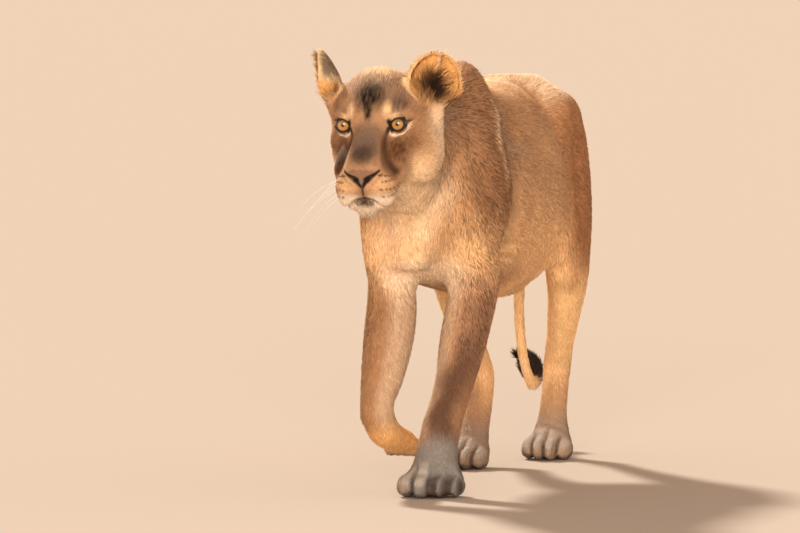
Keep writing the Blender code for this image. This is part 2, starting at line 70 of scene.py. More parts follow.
def thousandths(rows):
    """Rows of thousandths as rows of shares."""
    return [tuple(value / 1000 for value in row) for row in rows]


def masses(rows):
    """Ellipsoids: centre and radii in thousandths, then any turns about x, y and z in degrees."""
    return [(*thousandths(row[:2]), *row[2:]) for row in rows]


# ---------------------------------------------------------------- the trunk and neck
# Stations from the breast to the rump: y, back line, belly line, half width, how much narrower it is on
# top, and how square the section is (2000 is an ellipse).
TRUNK = thousandths([
    (-230, 800, 600, 60, 0, 2000), (-180, 900, 540, 98, 0, 2100), (-90, 958, 492, 124, 60, 2300),
    (30, 978, 464, 146, 120, 2300), (180, 946, 442, 174, 120, 2200), (340, 917, 421, 197, 60, 2100),
    (480, 912, 408, 204, 20, 2000), (610, 922, 418, 190, 20, 2100), (730, 942, 480, 162, 0, 2800),
    (840, 932, 570, 134, 0, 2700), (930, 888, 640, 104, 0, 2300), (985, 838, 690, 62, 0, 2000),
])
# Stations from the skull to the shoulders: x, y, z, half width, half height.
NECK = thousandths([
    (-10, -385, 835, 98, 118), (-4, -300, 812, 104, 150), (0, -200, 790, 110, 176), (4, -100, 785, 120, 185),
    (4, 20, 792, 126, 178),
])
# ---------------------------------------------------------------- the legs
# Stations down each limb: x, y, z, half width across, half depth fore and aft.
LEFT_FORELEG = thousandths([
    (112, -70, 660, 60, 100), (110, -30, 570, 60, 98), (105, 8, 490, 60, 82), (98, 2, 430, 60, 68),
    (86, -30, 335, 56, 54), (77, -58, 260, 48, 46), (67, -80, 205, 45, 43), (56, -100, 155, 47, 45),
    (50, -116, 100, 49, 41), (51, -135, 60, 57, 42),
])
RIGHT_FORELEG = thousandths([
    (-82, -120, 660, 52, 95), (-78, -104, 570, 52, 92), (-72, -72, 505, 55, 80), (-66, -78, 440, 59, 70),
    (-64, -112, 360, 60, 60), (-67, -160, 270, 51, 50), (-70, -192, 220, 41, 43), (-67, -210, 180, 40, 42),
])
RIGHT_FOREFOOT = thousandths([
    (-67, -205, 190, 40, 40), (-60, -178, 152, 40, 36), (-54, -122, 130, 40, 33), (-52, -70, 118, 43, 31),
])
LEFT_HINDLEG = thousandths([
    (98, 800, 770, 70, 150), (112, 805, 650, 66, 158), (124, 800, 540, 58, 136), (116, 848, 430, 50, 92),
    (87, 920, 330, 40, 58), (64, 980, 265, 35, 43), (51, 1012, 220, 36, 40), (49, 998, 160, 34, 34),
    (50, 972, 100, 36, 33), (54, 942, 60, 45, 36),
])
RIGHT_HINDLEG = thousandths([
    (-92, 770, 770, 68, 150), (-108, 720, 650, 64, 156), (-116, 655, 540, 56, 130), (-110, 665, 430, 48, 88),
    (-100, 705, 330, 38, 57), (-86, 748, 255, 34, 44), (-76, 766, 205, 35, 41), (-70, 728, 145, 34, 36),
    (-66, 680, 95, 35, 34), (-64, 640, 58, 42, 36),
])
# Muscles.
MASSES = masses([
    ((92, 10, 852), (67, 110, 142), (-16, -14, 4)),  # left shoulder blade
    ((-76, -40, 800), (56, 100, 135), (-12, 12, -6)),  # right shoulder blade
    ((124, 20, 690), (58, 105, 160), (12, 0, 0)),  # left triceps
    ((-90, -45, 660), (46, 95, 150), (12, 0, 0)),  # right triceps
    ((88, -120, 690), (56, 70, 110)),  # left point of the shoulder
    ((-78, -160, 690), (50, 66, 110)),  # right point of the shoulder
    ((0, -145, 625), (84, 88, 125)),  # breast
    ((115, 60, 520), (40, 45, 60)),  # left elbow
    ((-76, -10, 530), (40, 45, 60)),  # right elbow
    ((84, 870, 740), (72, 120, 150), (10, 0, 0)),  # left buttock
    ((-84, 860, 740), (72, 120, 150), (8, 0, 0)),  # right buttock
    ((108, 760, 806), (64, 130, 86)),  # left hip
    ((-104, 745, 806), (64, 130, 86)),  # right hip
    ((136, 700, 570), (44, 80, 100)),  # left knee
    ((-120, 575, 570), (44, 80, 100)),  # right knee
    ((51, 1044, 245), (21, 26, 34)),  # left heel
    ((-76, 798, 226), (21, 26, 32)),  # right heel
    ((0, 600, 460), (90, 130, 60)),  # loose skin of the belly
])
# ---------------------------------------------------------------- the feet
# Each foot on the ground: the middle of its pad, half width across the toes, turn about z in degrees.
FEET = [(0.049, -0.148, 0.076, 4), (0.057, 0.905, 0.059, 2), (-0.064, 0.6, 0.054, -4)]
TOES = ((-0.72, 0.018), (-0.26, -0.01), (0.26, -0.01), (0.72, 0.018))  # across in half widths, set back
TOE_LENGTH = 0.04
FOLDED_TOES = [((-0.052 + across, -0.036, 0.102), (0.015, 0.034, 0.022), (-32, 0, 8))
               for across in (-0.032, -0.011, 0.011, 0.032)]

# ---------------------------------------------------------------- the tail
# Stations from the root: x, y, z, half width.
TAIL = thousandths([
    (0, 930, 825, 46), (-4, 1000, 800, 36), (-20, 1060, 700, 28), (-45, 1095, 580, 22), (-64, 1110, 450, 18),
    (-70, 1115, 330, 16), (-64, 1130, 230, 15), (-56, 1165, 168, 16), (-60, 1215, 160, 22),
    (-74, 1255, 182, 30), (-92, 1268, 204, 26), (-112, 1266, 218, 8),
])
# ---------------------------------------------------------------- the head
# The head has its own axes, with their origin midway between the eyes. It is turned and lowered as a whole.
HEAD_PLACE = (-0.009, -0.455, 0.8505)
HEAD_TURN = 2.7  # degrees to her left
HEAD_DROP = 17.5  # degrees nose down
HEAD_TILT = 1.5  # degrees, left ear up
# Stations from the back of the skull to the nose: y, top, bottom, half width, narrowing on top, squareness.
SKULL = thousandths([
    (165, 62, -124, 100, 40, 2100), (120, 89, -142, 112, 60, 2300), (70, 96, -148, 112, 80, 2300),
    (30, 80, -148, 98, 100, 2400), (4, 56, -146, 80, 120, 2500),
])
MUZZLE = thousandths([
    (20, 64, -130, 62, 220, 2400), (-30, 33, -142, 50, 260, 2600), (-80, 4, -145, 53, 180, 2800),
    (-125, -18, -140, 54, 100, 2800), (-152, -36, -126, 44, 40, 2700),
])
HEAD_MASSES = masses([
    ((36, -110, -103), (37, 54, 47), (0, 0, 8)),  # left whisker pad
    ((-34, -110, -102), (36, 54, 46), (0, 0, -8)),  # right whisker pad
    ((0, -102, -144), (42, 48, 32)),  # chin
    ((0, -35, -132), (64, 95, 33)),  # lower jaw
    ((44, -26, -70), (44, 88, 56), (10, 0, 12)),  # left upper jaw
    ((-42, -26, -70), (42, 88, 56), (10, 0, -12)),  # right upper jaw
    ((86, 64, -78), (58, 90, 84), (0, 0, 12)),  # left cheek
    ((-62, 58, -78), (40, 80, 78), (0, 0, -12)),  # right cheek
    ((94, 104, -34), (46, 66, 66), (0, 0, 10)),  # left side whiskers
    ((70, 22, -36), (40, 52, 36)),  # left cheekbone
    ((-68, 22, -36), (38, 52, 36)),  # right cheekbone
    ((52, 12, 34), (36, 34, 23)),  # left brow
    ((-52, 12, 34), (36, 34, 23)),  # right brow
    ((70, 50, 6), (40, 58, 52)),  # left temple
    ((-70, 56, 4), (38, 58, 52)),  # right temple
])
EYE_PLACE = (0.0615, -0.012, 0.006)
EYE_SOCKET = 1.12  # the ball in each socket, as a share of the eye
# Each ear: middle of the cup, then its turns about x, y and z in degrees. The right one is swung round.
EARS = {"left": ((0.124, 0.1, 0.06), (-14, 14, 24)), "right": ((-0.123, 0.1, 0.07), (4, -30, -80))}
EAR_RADII = (0.064, 0.036, 0.071)
EAR_DEEPER = 0.5  # how much deeper the ear is at its root than at its middle
EAR_ROOTS = [((0.122, 0.086, -0.006), (0.02, 0.026, 0.022)), ((-0.099, 0.06, 0.016), (0.014, 0.024, 0.024))]
EAR_SLIT = ((-0.012, -0.012, 0.066), (0, -18, 0), (0.0045, 0.05, 0.022))  # the left one's middle, turns, size


# ---------------------------------------------------------------- shapes
def smooth_rows(rows, per_span=5):
    """Rows of numbers joined by a Catmull-Rom curve, with per_span steps between two of them."""
    rows = np.array(rows, float)
    ends = np.vstack([2 * rows[0] - rows[1], rows, 2 * rows[-1] - rows[-2]])
    steps = np.arange(per_span)[:, None] / per_span
    spans = [start + 0.5 * steps * (end - before)
             + 0.5 * steps**2 * (2 * before - 5 * start + 4 * end - after)
             + 0.5 * steps**3 * (3 * start - 3 * end + after - before)
             for before, start, end, after in zip(ends, ends[1:], ends[2:], ends[3:])]
    return np.vstack(spans + [rows[-1:]])


def unit_rows(rows):
    """Rows of numbers, each of length 1."""
    return rows / np.linalg.norm(rows, axis=1)[:, None]


ROUNDING = (0.35, 0.8, 1.2)  # the rings of a loft's rounded end, in radians from its rim


def loft(form, stations, sides=24, round_end=0.7):
    """Adds a closed tube with rounded ends. A station is a centre, two half sizes, narrowing and squareness.

    The first half size runs along x as nearly as the tube's course allows.
    """
    stations = smooth_rows(stations)
    centres = stations[:, :3]
    courses = unit_rows(np.gradient(centres, axis=0))

    def rounded(end, ahead):
        return [(centres[end] + ahead * courses[end] * round_end * stations[end, 3] * math.sin(angle),
                 courses[end], stations[end, 3:], math.cos(angle)) for angle in ROUNDING]

    middle = [(*ring, 1.0) for ring in zip(centres, courses, stations[:, 3:])]
    rings = rounded(0, -1)[::-1] + middle + rounded(-1, 1)
    turns = np.linspace(0, 2 * math.pi, sides, endpoint=False)
    made = []
    upward = np.array([0, -0.01, 1.0])
    for centre, course, (width, depth, narrowing, square), share in rings:
        across = np.array([1.0, 0, 0]) - course * course[0]
        across /= np.linalg.norm(across)
        up = np.cross(across, course)
        up *= 1 if up @ upward > 0 else -1
        upward = up
        cosines, sines = (np.sign(part) * np.abs(part) ** (2 / square)
                          for part in (np.cos(turns), np.sin(turns)))
        cosines = cosines * (1 - narrowing * sines)
        points = centre + share * (np.outer(cosines * width, across) + np.outer(sines * depth, up))
        made.append([form.verts.new(point) for point in points])
    bridge(form, made)
    form.faces.new(made[0])
    form.faces.new(made[-1])


def bridge(form, rings):
    """Joins each ring of vertices to the next."""
    for ring, after in zip(rings, rings[1:]):
        for i in range(len(ring)):
            form.faces.new((ring[i - 1], ring[i], after[i], after[i - 1]))


def tube(form, stations, sides=24):
    """Adds a loft whose stations are x, y, z, half width and, if it isn't round, half depth."""
    loft(form, [(*s[:4], s[4] if len(s) > 4 else s[3], 0, 2) for s in stations], sides)


def barrel(form, stations):
    """Adds a loft along y whose stations are y, top, bottom, half width, narrowing and squareness."""
    loft(form, [(0, y, (top + low) / 2, wide, (top - low) / 2, thin, square)
                for y, top, low, wide, thin, square in stations], 32, round_end=0.3)


def placed(centre, turns):
    """The matrix that turns a shape about x, y and z, in degrees, and then moves it to centre."""
    return Matrix.Translation(centre) @ Euler([math.radians(t) for t in turns]).to_matrix().to_4x4()


def mass(form, centre, radii, turns=(0, 0, 0)):
    """Adds an ellipsoid to form."""
    made = bmesh.ops.create_uvsphere(form, u_segments=24, v_segments=16, radius=1)
    matrix = placed(centre, turns) @ Matrix.Diagonal((*radii, 1))
    bmesh.ops.transform(form, matrix=matrix, verts=made["verts"])


def add_moved(form, other, matrix):
    """Adds another form's shapes, moved by a matrix."""
    bmesh.ops.transform(other, matrix=matrix, verts=other.verts)
    spare = bpy.data.meshes.new("spare")
    other.to_mesh(spare)
    other.free()
    form.from_mesh(spare)
    bpy.data.meshes.remove(spare)


def linked(name, data):
    """A new object in the scene."""
    made = bpy.data.objects.new(name, data)
    bpy.context.scene.collection.objects.link(made)
    return made


def new_object(name, form, scale=1.0):
    """Turns form into an object, with its faces pointing out."""
    bmesh.ops.recalc_face_normals(form, faces=form.faces)
    bmesh.ops.scale(form, vec=(scale,) * 3, verts=form.verts)
    mesh = bpy.data.meshes.new(name)
    form.to_mesh(mesh)
    form.free()
    return linked(name, mesh)


def evaluated(source):
    """A new object with the source's mesh after its modifiers, in the source's stead."""
    name = source.name
    mesh = bpy.data.meshes.new_from_object(source.evaluated_get(bpy.context.evaluated_depsgraph_get()))
    mesh.name = name
    bpy.data.objects.remove(source)
    return linked(name, mesh)


def modified(item, kind, **settings):
    """The item after a modifier of this kind."""
    modifier = item.modifiers.new("change", kind)
    for key, value in settings.items():
        setattr(modifier, key, value)
    return evaluated(item)


def dress(item, material):
    """Gives the item smooth shading and a material."""
    item.data.polygons.foreach_set("use_smooth", [True] * len(item.data.polygons))
    item.data.materials.append(material)


def read(rows, key, width=3, kind=float):
    """What a mesh says of its vertices, corners or triangles, so many numbers in a row."""
    values = np.empty(len(rows) * width, kind)
    rows.foreach_get(key, values)
    return values.reshape(-1, width)


def points_of(item):
    """The item's vertices."""
    return read(item.data.vertices, "co")


def normals_of(item):
    """The normals at the item's vertices."""
    return read(item.data.vertex_normals, "vector")


def corners_of(item):
    """The item's triangles as rows of three vertices."""
    item.data.calc_loop_triangles()
    return read(item.data.loop_triangles, "vertices", 3, np.int32)


def set_points(item, points):
    """Moves the item's vertices to these places."""
    item.data.vertices.foreach_set("co", np.ascontiguousarray(points, dtype=np.float32).ravel())
    item.data.update()


WEIGHT_STEPS = 40


def weigh(item, name, weights):
    """Gives the item a vertex group of these weights, in rounded steps."""
    group = item.vertex_groups.new(name=name)
    steps = np.round(np.asarray(weights) * WEIGHT_STEPS).astype(int)
    for step in np.unique(steps):
        group.add(np.flatnonzero(steps == step).tolist(), step / WEIGHT_STEPS, "REPLACE")


def joined(item, voxel):
    """The item's shapes as one closed skin on a grid."""
    return modified(item, "REMESH", mode="VOXEL", voxel_size=voxel)


def relaxed(item, rounds, soft):
    """The item's skin smoothed, where soft says how much."""
    weigh(item, "soft", soft(points_of(item)))
    return modified(item, "SMOOTH", factor=1.0, iterations=rounds, vertex_group="soft")


def thinned(item, triangles, keep):
    """The item in fewer triangles, kept fine where keep says."""
    weigh(item, "thin", keep(points_of(item)))
    return modified(item, "DECIMATE", ratio=triangles / (2 * len(item.data.polygons)), vertex_group="thin",
                    vertex_group_factor=0.004, use_collapse_triangulate=True)


def subdivided(item, spots, level):
    """Cuts in four every face of the head where these soft spots together come above a level."""
    form = bmesh.new()
    form.from_mesh(item.data)
    own = to_head(points_of(item) / WITHERS_HEIGHT)
    chosen = sum(bump(own, *spot) for spot in spots) > level
    edges = [edge for edge in form.edges if chosen[edge.verts[0].index] and chosen[edge.verts[1].index]]
    bmesh.ops.subdivide_edges(form, edges=edges, cuts=1, use_grid_fill=True, smooth=0.0)
    bmesh.ops.triangulate(form, faces=form.faces)
    form.to_mesh(item.data)
    form.free()
    item.data.update()


# ---------------------------------------------------------------- measures
def ramp(values, start, end):
    """0 below start, 1 above end, and a smooth step between. It falls if start is above end."""
    share = np.clip((values - start) / (end - start), 0, 1)
    return share * share * (3 - 2 * share)


def bump(points, centre, radii, power=1.0):
    """A soft spot: 1 at the centre, fading to about a third at the radii."""
    away = ((points - np.array(centre)) / np.array(radii)) ** 2
    return np.exp(-away.sum(1) ** power)


def fade(away, width, power=2):
    """1 at no distance, falling to about a third at this width."""
    return np.exp(-((away / width) ** power))


def between(old, new, share):
    """Old where the share is 0 and new where it is 1."""
    return old * (1 - share) + new * share


def columns(*parts):
    """These numbers or rows of numbers side by side."""
    return np.column_stack(np.broadcast_arrays(*parts))


def path_points(path, spacing=0.002):
    """The points along a smooth path through these points."""
    path = smooth_rows(path, 12)
    steps = np.r_[0, np.cumsum(np.linalg.norm(np.diff(path, axis=0), axis=1))]
    at = np.linspace(0, steps[-1], max(2, int(steps[-1] / spacing)))
    return np.column_stack([np.interp(at, steps, path[:, i]) for i in range(path.shape[1])])


FAR = 9.0
AT_ONCE = 20000  # points whose distances are taken together


def distance_to_path(points, path, reach):
    """How far each point is from the path, and where along it (0 to 1). Beyond reach it is just far."""
    line = path_points(path)
    away, along = np.full(len(points), FAR), np.zeros(len(points))
    low, high = line.min(0) - reach, line.max(0) + reach
    near = np.flatnonzero(((points > low) & (points < high)).all(1))
    for start in range(0, len(near), AT_ONCE):
        part = near[start:start + AT_ONCE]
        gaps = np.linalg.norm(points[part, None, :] - line[None], axis=2)
        away[part] = gaps.min(1)
        along[part] = gaps.argmin(1) / (len(line) - 1)
    return away, along


FLAT = (1, 0.25, 1)  # how much each way counts in the distance to a line on the face


def line_gap(points, path, reach, flat=FLAT):
    """The distance to a line and how far along it, in flattened space."""
    return distance_to_path(points * flat, [tuple(stop * np.array(flat)) for stop in np.array(path)], reach)


def mirrored(path):
    """The same path on the other side of the head."""
    return [(-x, y, z) for x, y, z in path]


LATTICE = np.random.default_rng(NOISE_SEED).random((32, 32, 32))


def noise(points, size):
    """Smooth noise from 0 to 1 whose spots are about this size, in the points' own unit."""
    at = points / size
    base = np.floor(at).astype(int)
    part = at - base
    part = part * part * (3 - 2 * part)
    total = np.zeros(len(points))
    for corner in range(8):
        step = np.array([corner & 1, corner >> 1 & 1, corner >> 2])
        cell = (base + step) % 32
        weight = np.prod(np.where(step, part, 1 - part), axis=1)
        total += weight * LATTICE[cell[:, 0], cell[:, 1], cell[:, 2]]
    return total


def wandering(points, size, reach):
    """Smooth shifts each way, which make an edge irregular."""
    return np.column_stack([noise(points + shift, size) - 0.5 for shift in (1, 2, 3)]) * reach


# ---------------------------------------------------------------- the frame's own place
def head_axes():
    """The matrix that takes the head's own axes to the body's."""
    return placed(HEAD_PLACE, (HEAD_DROP, -HEAD_TILT, HEAD_TURN))


def plan_shift():
    """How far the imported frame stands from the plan, in metres."""
    low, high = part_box("eye_left")
    eye = head_axes() @ Vector(EYE_PLACE) * WITHERS_HEIGHT
    return np.array((low + high) / 2) - np.array(eye)


SHIFT = plan_shift()
HEAD_MATRIX = np.array(head_axes())
HEAD_INVERSE = np.array(head_axes().inverted())


def to_plan(points):
    """Places in the frame, as shares of the withers' height in the plan."""
    return (points - SHIFT) / WITHERS_HEIGHT


def to_head(plan):
    """Places in the plan, on the head's own axes."""
    return plan @ HEAD_INVERSE[:3, :3].T + HEAD_INVERSE[:3, 3]


def from_head(local):
    """Places on the head's own axes, in the plan."""
    return np.asarray(local) @ HEAD_MATRIX[:3, :3].T + HEAD_MATRIX[:3, 3]


# ---------------------------------------------------------------- the body's masses
def foot(form, x, y, width, turn):
    """Adds a foot's pad and its four toes, which point along -y before the turn."""
    facing = Matrix.Translation((x, y, 0)) @ Matrix.Rotation(math.radians(turn), 4, "Z")
    mass(form, facing @ Vector((0, 0.012, 0.036)), (width * 0.92, 0.058, 0.04), (12, 0, turn))
    for across, back in TOES:
        centre = facing @ Vector((across * width, back - 0.036, 0.024))
        mass(form, centre, (width * 0.33, TOE_LENGTH, 0.029), (10, 0, turn))


def masses_of_body():
    """Every mass of the body, in shares of the withers' height: overlapping closed shapes in one form."""
    form, head = bmesh.new(), bmesh.new()
    barrel(form, TRUNK)
    tube(form, NECK, sides=32)
    for limb in (LEFT_FORELEG, RIGHT_FORELEG, RIGHT_FOREFOOT, LEFT_HINDLEG, RIGHT_HINDLEG, TAIL):
        tube(form, limb)
    for muscle in MASSES + FOLDED_TOES:
        mass(form, *muscle)
    for place in FEET:
        foot(form, *place)
    barrel(head, SKULL)
    barrel(head, MUZZLE)
    for muscle in HEAD_MASSES:
        mass(head, *muscle)
    add_moved(form, head, head_axes())
    return form


def softness(points):
    """How much of the smoothing each point takes: all of it on the trunk, less on the limbs and the head."""
    x, y, z = points.T / WITHERS_HEIGHT
    trunk = np.clip((z - 0.46) / 0.12, 0, 1) * np.clip((1.02 - y) / 0.06, 0, 1)
    legs = np.clip((z - 0.1) / 0.1, 0, 1)
    head = np.clip((-0.26 - y) / 0.1, 0, 1)
    tail = np.clip((y - 1.03) / 0.04, 0, 1) * np.clip((np.abs(x - 0.05) - 0.055) / 0.01, 0, 1)
    return between(between(0.03 + 0.1 * legs + 0.87 * trunk, 0.24, head), 0.03, tail)


# ---------------------------------------------------------------- the ears
def ear_axes(side):
    """The matrix that takes an ear's own axes to the plan's."""
    return head_axes() @ placed(*EARS[side])


def ear(side):
    """A cupped ear with a thin wall, which opens along -y of its own axes and is deepest at its root."""
    across, deep, tall = EAR_RADII
    thin = 1 - EAR_WALL
    form, hollow, mouth = bmesh.new(), bmesh.new(), bmesh.new()
    mass(form, (0, 0, 0), EAR_RADII)
    mass(hollow, (0, -0.15 * deep, 0), (across * thin, deep * thin, tall * thin))
    bmesh.ops.create_cube(mouth, size=1)
    bmesh.ops.scale(mouth, vec=(4 * across, 2 * deep, 4 * tall), verts=mouth.verts)
    bmesh.ops.translate(mouth, vec=(0, -deep * (1 + EAR_MOUTH), 0), verts=mouth.verts)
    cutters = [new_object("hollow", hollow), new_object("mouth", mouth)]
    if side == "left":
        slit = bmesh.new()
        bmesh.ops.create_cube(slit, size=1)
        middle, turns, size = EAR_SLIT
        matrix = placed(middle, turns) @ Matrix.Diagonal((*size, 1))
        bmesh.ops.transform(slit, matrix=matrix, verts=slit.verts)
        cutters.append(new_object("slit", slit))
    whole = new_object("ear_" + side, form)
    for cutter in cutters:
        cut = whole.modifiers.new("cut", "BOOLEAN")
        cut.operation = "DIFFERENCE"
        cut.object = cutter
    shell = evaluated(whole)
    for cutter in cutters:
        bpy.data.objects.remove(cutter)
    for vertex in shell.data.vertices:
        low = min(max((-vertex.co.z / tall - 0.25) / 0.75, 0), 1)
        deeper = 1 - EAR_DEEPER * vertex.co.z / tall
        vertex.co.y = vertex.co.y * deeper * (1 - 0.35 * low) + 0.25 * deep * low
        vertex.co.x *= 1 - 0.45 * low
    shell.data.transform(Matrix.Scale(WITHERS_HEIGHT, 4) @ ear_axes(side))
    return modified(joined(shell, EAR_GRID), "SMOOTH", factor=1.0, iterations=2)


def in_ear(plan, side):
    """The points on the ear's own axes, in shares of its radii, and how far out they are."""
    inverse = np.array(ear_axes(side).inverted())
    own = (plan @ inverse[:3, :3].T + inverse[:3, 3]) / np.array(EAR_RADII)
    own[:, 1] /= np.maximum(1 - EAR_DEEPER * own[:, 2], 0.2)
    return own, np.linalg.norm(own, axis=1)


def ear_share(plan):
    """1 on the ears and 0 away from them."""
    share = np.zeros(len(plan))
    for side in EARS:
        own, far = in_ear(plan, side)
        share = np.maximum(share, ramp(far, 1.25, 1.05) * ramp(own[:, 2], -0.75, -0.35))
    return share


# ---------------------------------------------------------------- the face's shape
# Lines on the face, on the head's own axes. Those with a side are drawn for her left and mirrored.
TEAR_LINE = [(0.043, -0.037, 0.003), (0.0385, -0.066, -0.0145), (0.045, -0.105, -0.037),
             (0.055, -0.114, -0.057), (0.066, -0.11, -0.073)]
NOSTRIL = [(0.0385, -0.148, -0.056), (0.03, -0.156, -0.0605), (0.0215, -0.16, -0.0655),
           (0.0125, -0.162, -0.072)]
NOSTRIL_TAIL = [(0.0125, -0.162, -0.072), (0.007, -0.162, -0.08), (0.0005, -0.161, -0.0905)]
PHILTRUM = [(0, -0.161, -0.088), (0, -0.159, -0.102), (0, -0.154, -0.1168)]
MOUTH = [(0, -0.153, -0.1168), (0.01, -0.152, -0.1195), (0.019, -0.148, -0.124), (0.032, -0.138, -0.1366),
         (0.047, -0.125, -0.1455), (0.062, -0.095, -0.148), (0.07, -0.055, -0.138), (0.073, -0.018, -0.122)]
WING = [(0.04, -0.146, -0.05), (0.03, -0.156, -0.0545), (0.018, -0.161, -0.06)]
WING_OUT = [(0.042, -0.145, -0.062), (0.033, -0.154, -0.069), (0.023, -0.16, -0.078)]
OUTER_CORNER = [(0.073, -0.018, 0.011), (0.081, -0.006, 0.009), (0.088, 0.006, 0.007)]
INNER_CORNER = [(0.05, -0.034, -0.001), (0.044, -0.037, 0), (0.0395, -0.05, -0.006)]
UNDER_EYE = [(0.047, -0.044, -0.0075), (0.053, -0.041, -0.0122), (0.0612, -0.0372, -0.0142),
             (0.0713, -0.0198, -0.013), (0.0785, -0.0121, -0.0065), (0.0835, -0.004, 0.001)]
BROW_LINE = [(0.034, -0.034, 0.028), (0.05, -0.028, 0.04), (0.07, -0.014, 0.042), (0.086, 0.004, 0.03)]
FOREHEAD_LINE = [(0, -0.03, 0.034), (0, 0, 0.06), (0, 0.05, 0.085)]
# Where the face is fine, and where it is finest: soft spots round eyes, nose and mouth, and a level.
FINE = ([((0.06, -0.015, 0), (0.042, 0.05, 0.034)), ((-0.06, -0.015, 0), (0.042, 0.05, 0.034)),
         ((0, -0.16, -0.085), (0.062, 0.055, 0.055)), ((0, -0.1, -0.125), (0.085, 0.075, 0.035))], 0.38)
FINEST = ([((0.0615, -0.025, 0.004), (0.027, 0.035, 0.02)), ((-0.0615, -0.025, 0.004), (0.027, 0.035, 0.02)),
           ((0, -0.16, -0.078), (0.04, 0.035, 0.034))], 0.42)
# Swellings and hollows of the face: centre for her left, reach each way, and how far the skin moves out.
FACE_FORMS = [
    ((0, -0.16, -0.062), (0.028, 0.03, 0.02), 0.0016),
    ((0.074, -0.05, -0.046), (0.02, 0.04, 0.026), -0.005),
    ((0.048, -0.134, -0.098), (0.022, 0.04, 0.022), 0.004),
    ((0.102, 0, -0.06), (0.03, 0.05, 0.034), 0.003),
    ((0, -0.128, -0.02), (0.022, 0.04, 0.026), 0.0022),
    ((0.022, -0.036, 0.04), (0.011, 0.03, 0.018), 0.003),
]
# Ridges and grooves of the face: path, width, depth (less than 0 for a ridge), and how gaps are measured.
FACE_GROOVES = [(WING, 0.0042, -0.003, line_gap), (WING_OUT, 0.0044, -0.0024, line_gap),
                (BROW_LINE, 0.011, -0.0046, distance_to_path), (TEAR_LINE, 0.006, 0.0042, line_gap)]
EYE_TURN, EYE_LIFT, EYE_TILT = 8, 13, 17  # degrees: to the side, up, and the inner corner down
BALL_SHARE = 0.8  # the skin behind the eyeball's front, as a share of its radius


def eye_space(own, sign):
    """Directions from the eye's centre: out to the side, up and ahead; the distance in shares of its radius;
    then the unit direction, the centre and the radius. The eye's inner corner is turned down.
    """
    centre = np.array((sign * EYE_PLACE[0], *EYE_PLACE[1:]))
    radius = EYE_RADIUS / WITHERS_HEIGHT
    gap = (own - centre) / radius
    far = np.linalg.norm(gap, axis=1)
    unit = gap / far[:, None]
    turn, lift, tilt = (math.radians(angle) for angle in (EYE_TURN, EYE_LIFT, EYE_TILT))
    out = sign * unit[:, 0] * math.cos(turn) + unit[:, 1] * math.sin(turn)
    ahead = sign * unit[:, 0] * math.sin(turn) - unit[:, 1] * math.cos(turn)
    front = ahead * math.cos(lift) + unit[:, 2] * math.sin(lift)
    above = unit[:, 2] * math.cos(lift) - ahead * math.sin(lift)
    across = out * math.cos(tilt) + above * math.sin(tilt)
    up = -out * math.sin(tilt) + above * math.cos(tilt)
    return across, up, front, far, unit, centre, radius


def lid_measure(across, up):
    """Less than 1 inside the almond between the lids, and growing away from it."""
    tall = np.where(up > 0, 0.53, 0.6)
    wide = np.where(across > 0, 0.9, 0.8)
    return (np.abs(across / wide) ** 1.5 + np.abs(up / tall) ** 1.8) ** 0.58


def shape_eyes(own):
    """Wraps the lids round the eyes."""
    for sign in (1, -1):
        across, up, front, far, unit, centre, radius = eye_space(own, sign)
        measure = lid_measure(across, up)
        lid = 1.0 + 0.085 * ramp(measure, 0.95, 1.25) + 0.1 * ramp(up, 0.1, 0.5) * ramp(measure, 1.1, 1.7)
        wanted = np.where(measure < 0.97, BALL_SHARE, lid)
        near = ramp(front, 0.05, 0.45) * ramp(far, 2.3, 1.35)
        shape = wanted + (np.maximum(far, wanted) - wanted) * ramp(measure, 1.35, 2.9)
        own = centre + unit * ((far + (shape - far) * near) * radius)[:, None]
    return own


def grooved(own, normals, path, width, depth, gap=distance_to_path):
    """Presses a groove into the skin along a path, or raises a ridge if depth is negative."""
    away, _ = gap(own, path, width * 3)
    return own - normals * (depth * fade(away, width))[:, None]


def shape_face(own, normals):
    """Lids, nostrils, lips and the face's folds."""
    inward = np.array((0, 1.0, 0.1))
    folded = own * (np.sign(own[:, :1]) * (1, 0, 0) + (0, 1, 1))
    drop = bump(folded, (0.046, -0.12, -0.132), (0.024, 0.055, 0.02), 1.5)
    own = own + columns(0.15 * np.sign(own[:, 0]), 0, -1) * (0.01 * drop)[:, None]
    for centre, reach, rise in FACE_FORMS:
        own = own + normals * (rise * bump(folded, centre, reach, 1.4))[:, None]

    def pressed(path, reach, way, shape):
        """The skin pressed along a line, whose depth and width follow the place along it."""
        away, along = line_gap(own, path, reach)
        depth, width = shape(along)
        return own + way * (depth * fade(away, width))[:, None]

    for mirror in (list, mirrored):
        for path, width, depth, gap in FACE_GROOVES:
            own = grooved(own, normals, mirror(path), width, depth, gap)
        own = pressed(mirror(NOSTRIL), 0.02, inward, lambda along: (
            0.004 + 0.009 * ramp(along, 0.2, 0.8), 0.0024 + 0.0028 * ramp(along, 0.25, 0.85)))
        own = pressed(mirror(NOSTRIL_TAIL), 0.02, inward, lambda along: (0.004, 0.0026))
        own = pressed(mirror(MOUTH), 0.03, -normals, lambda along: (
            0.004 + 0.005 * ramp(along, 0.05, 0.35) * ramp(along, 1.0, 0.55), 0.0042))
    own = pressed(PHILTRUM, 0.02, inward, lambda along: (0.004, 0.0028))
    return shape_eyes(grooved(own, normals, FOREHEAD_LINE, 0.012, 0.003))


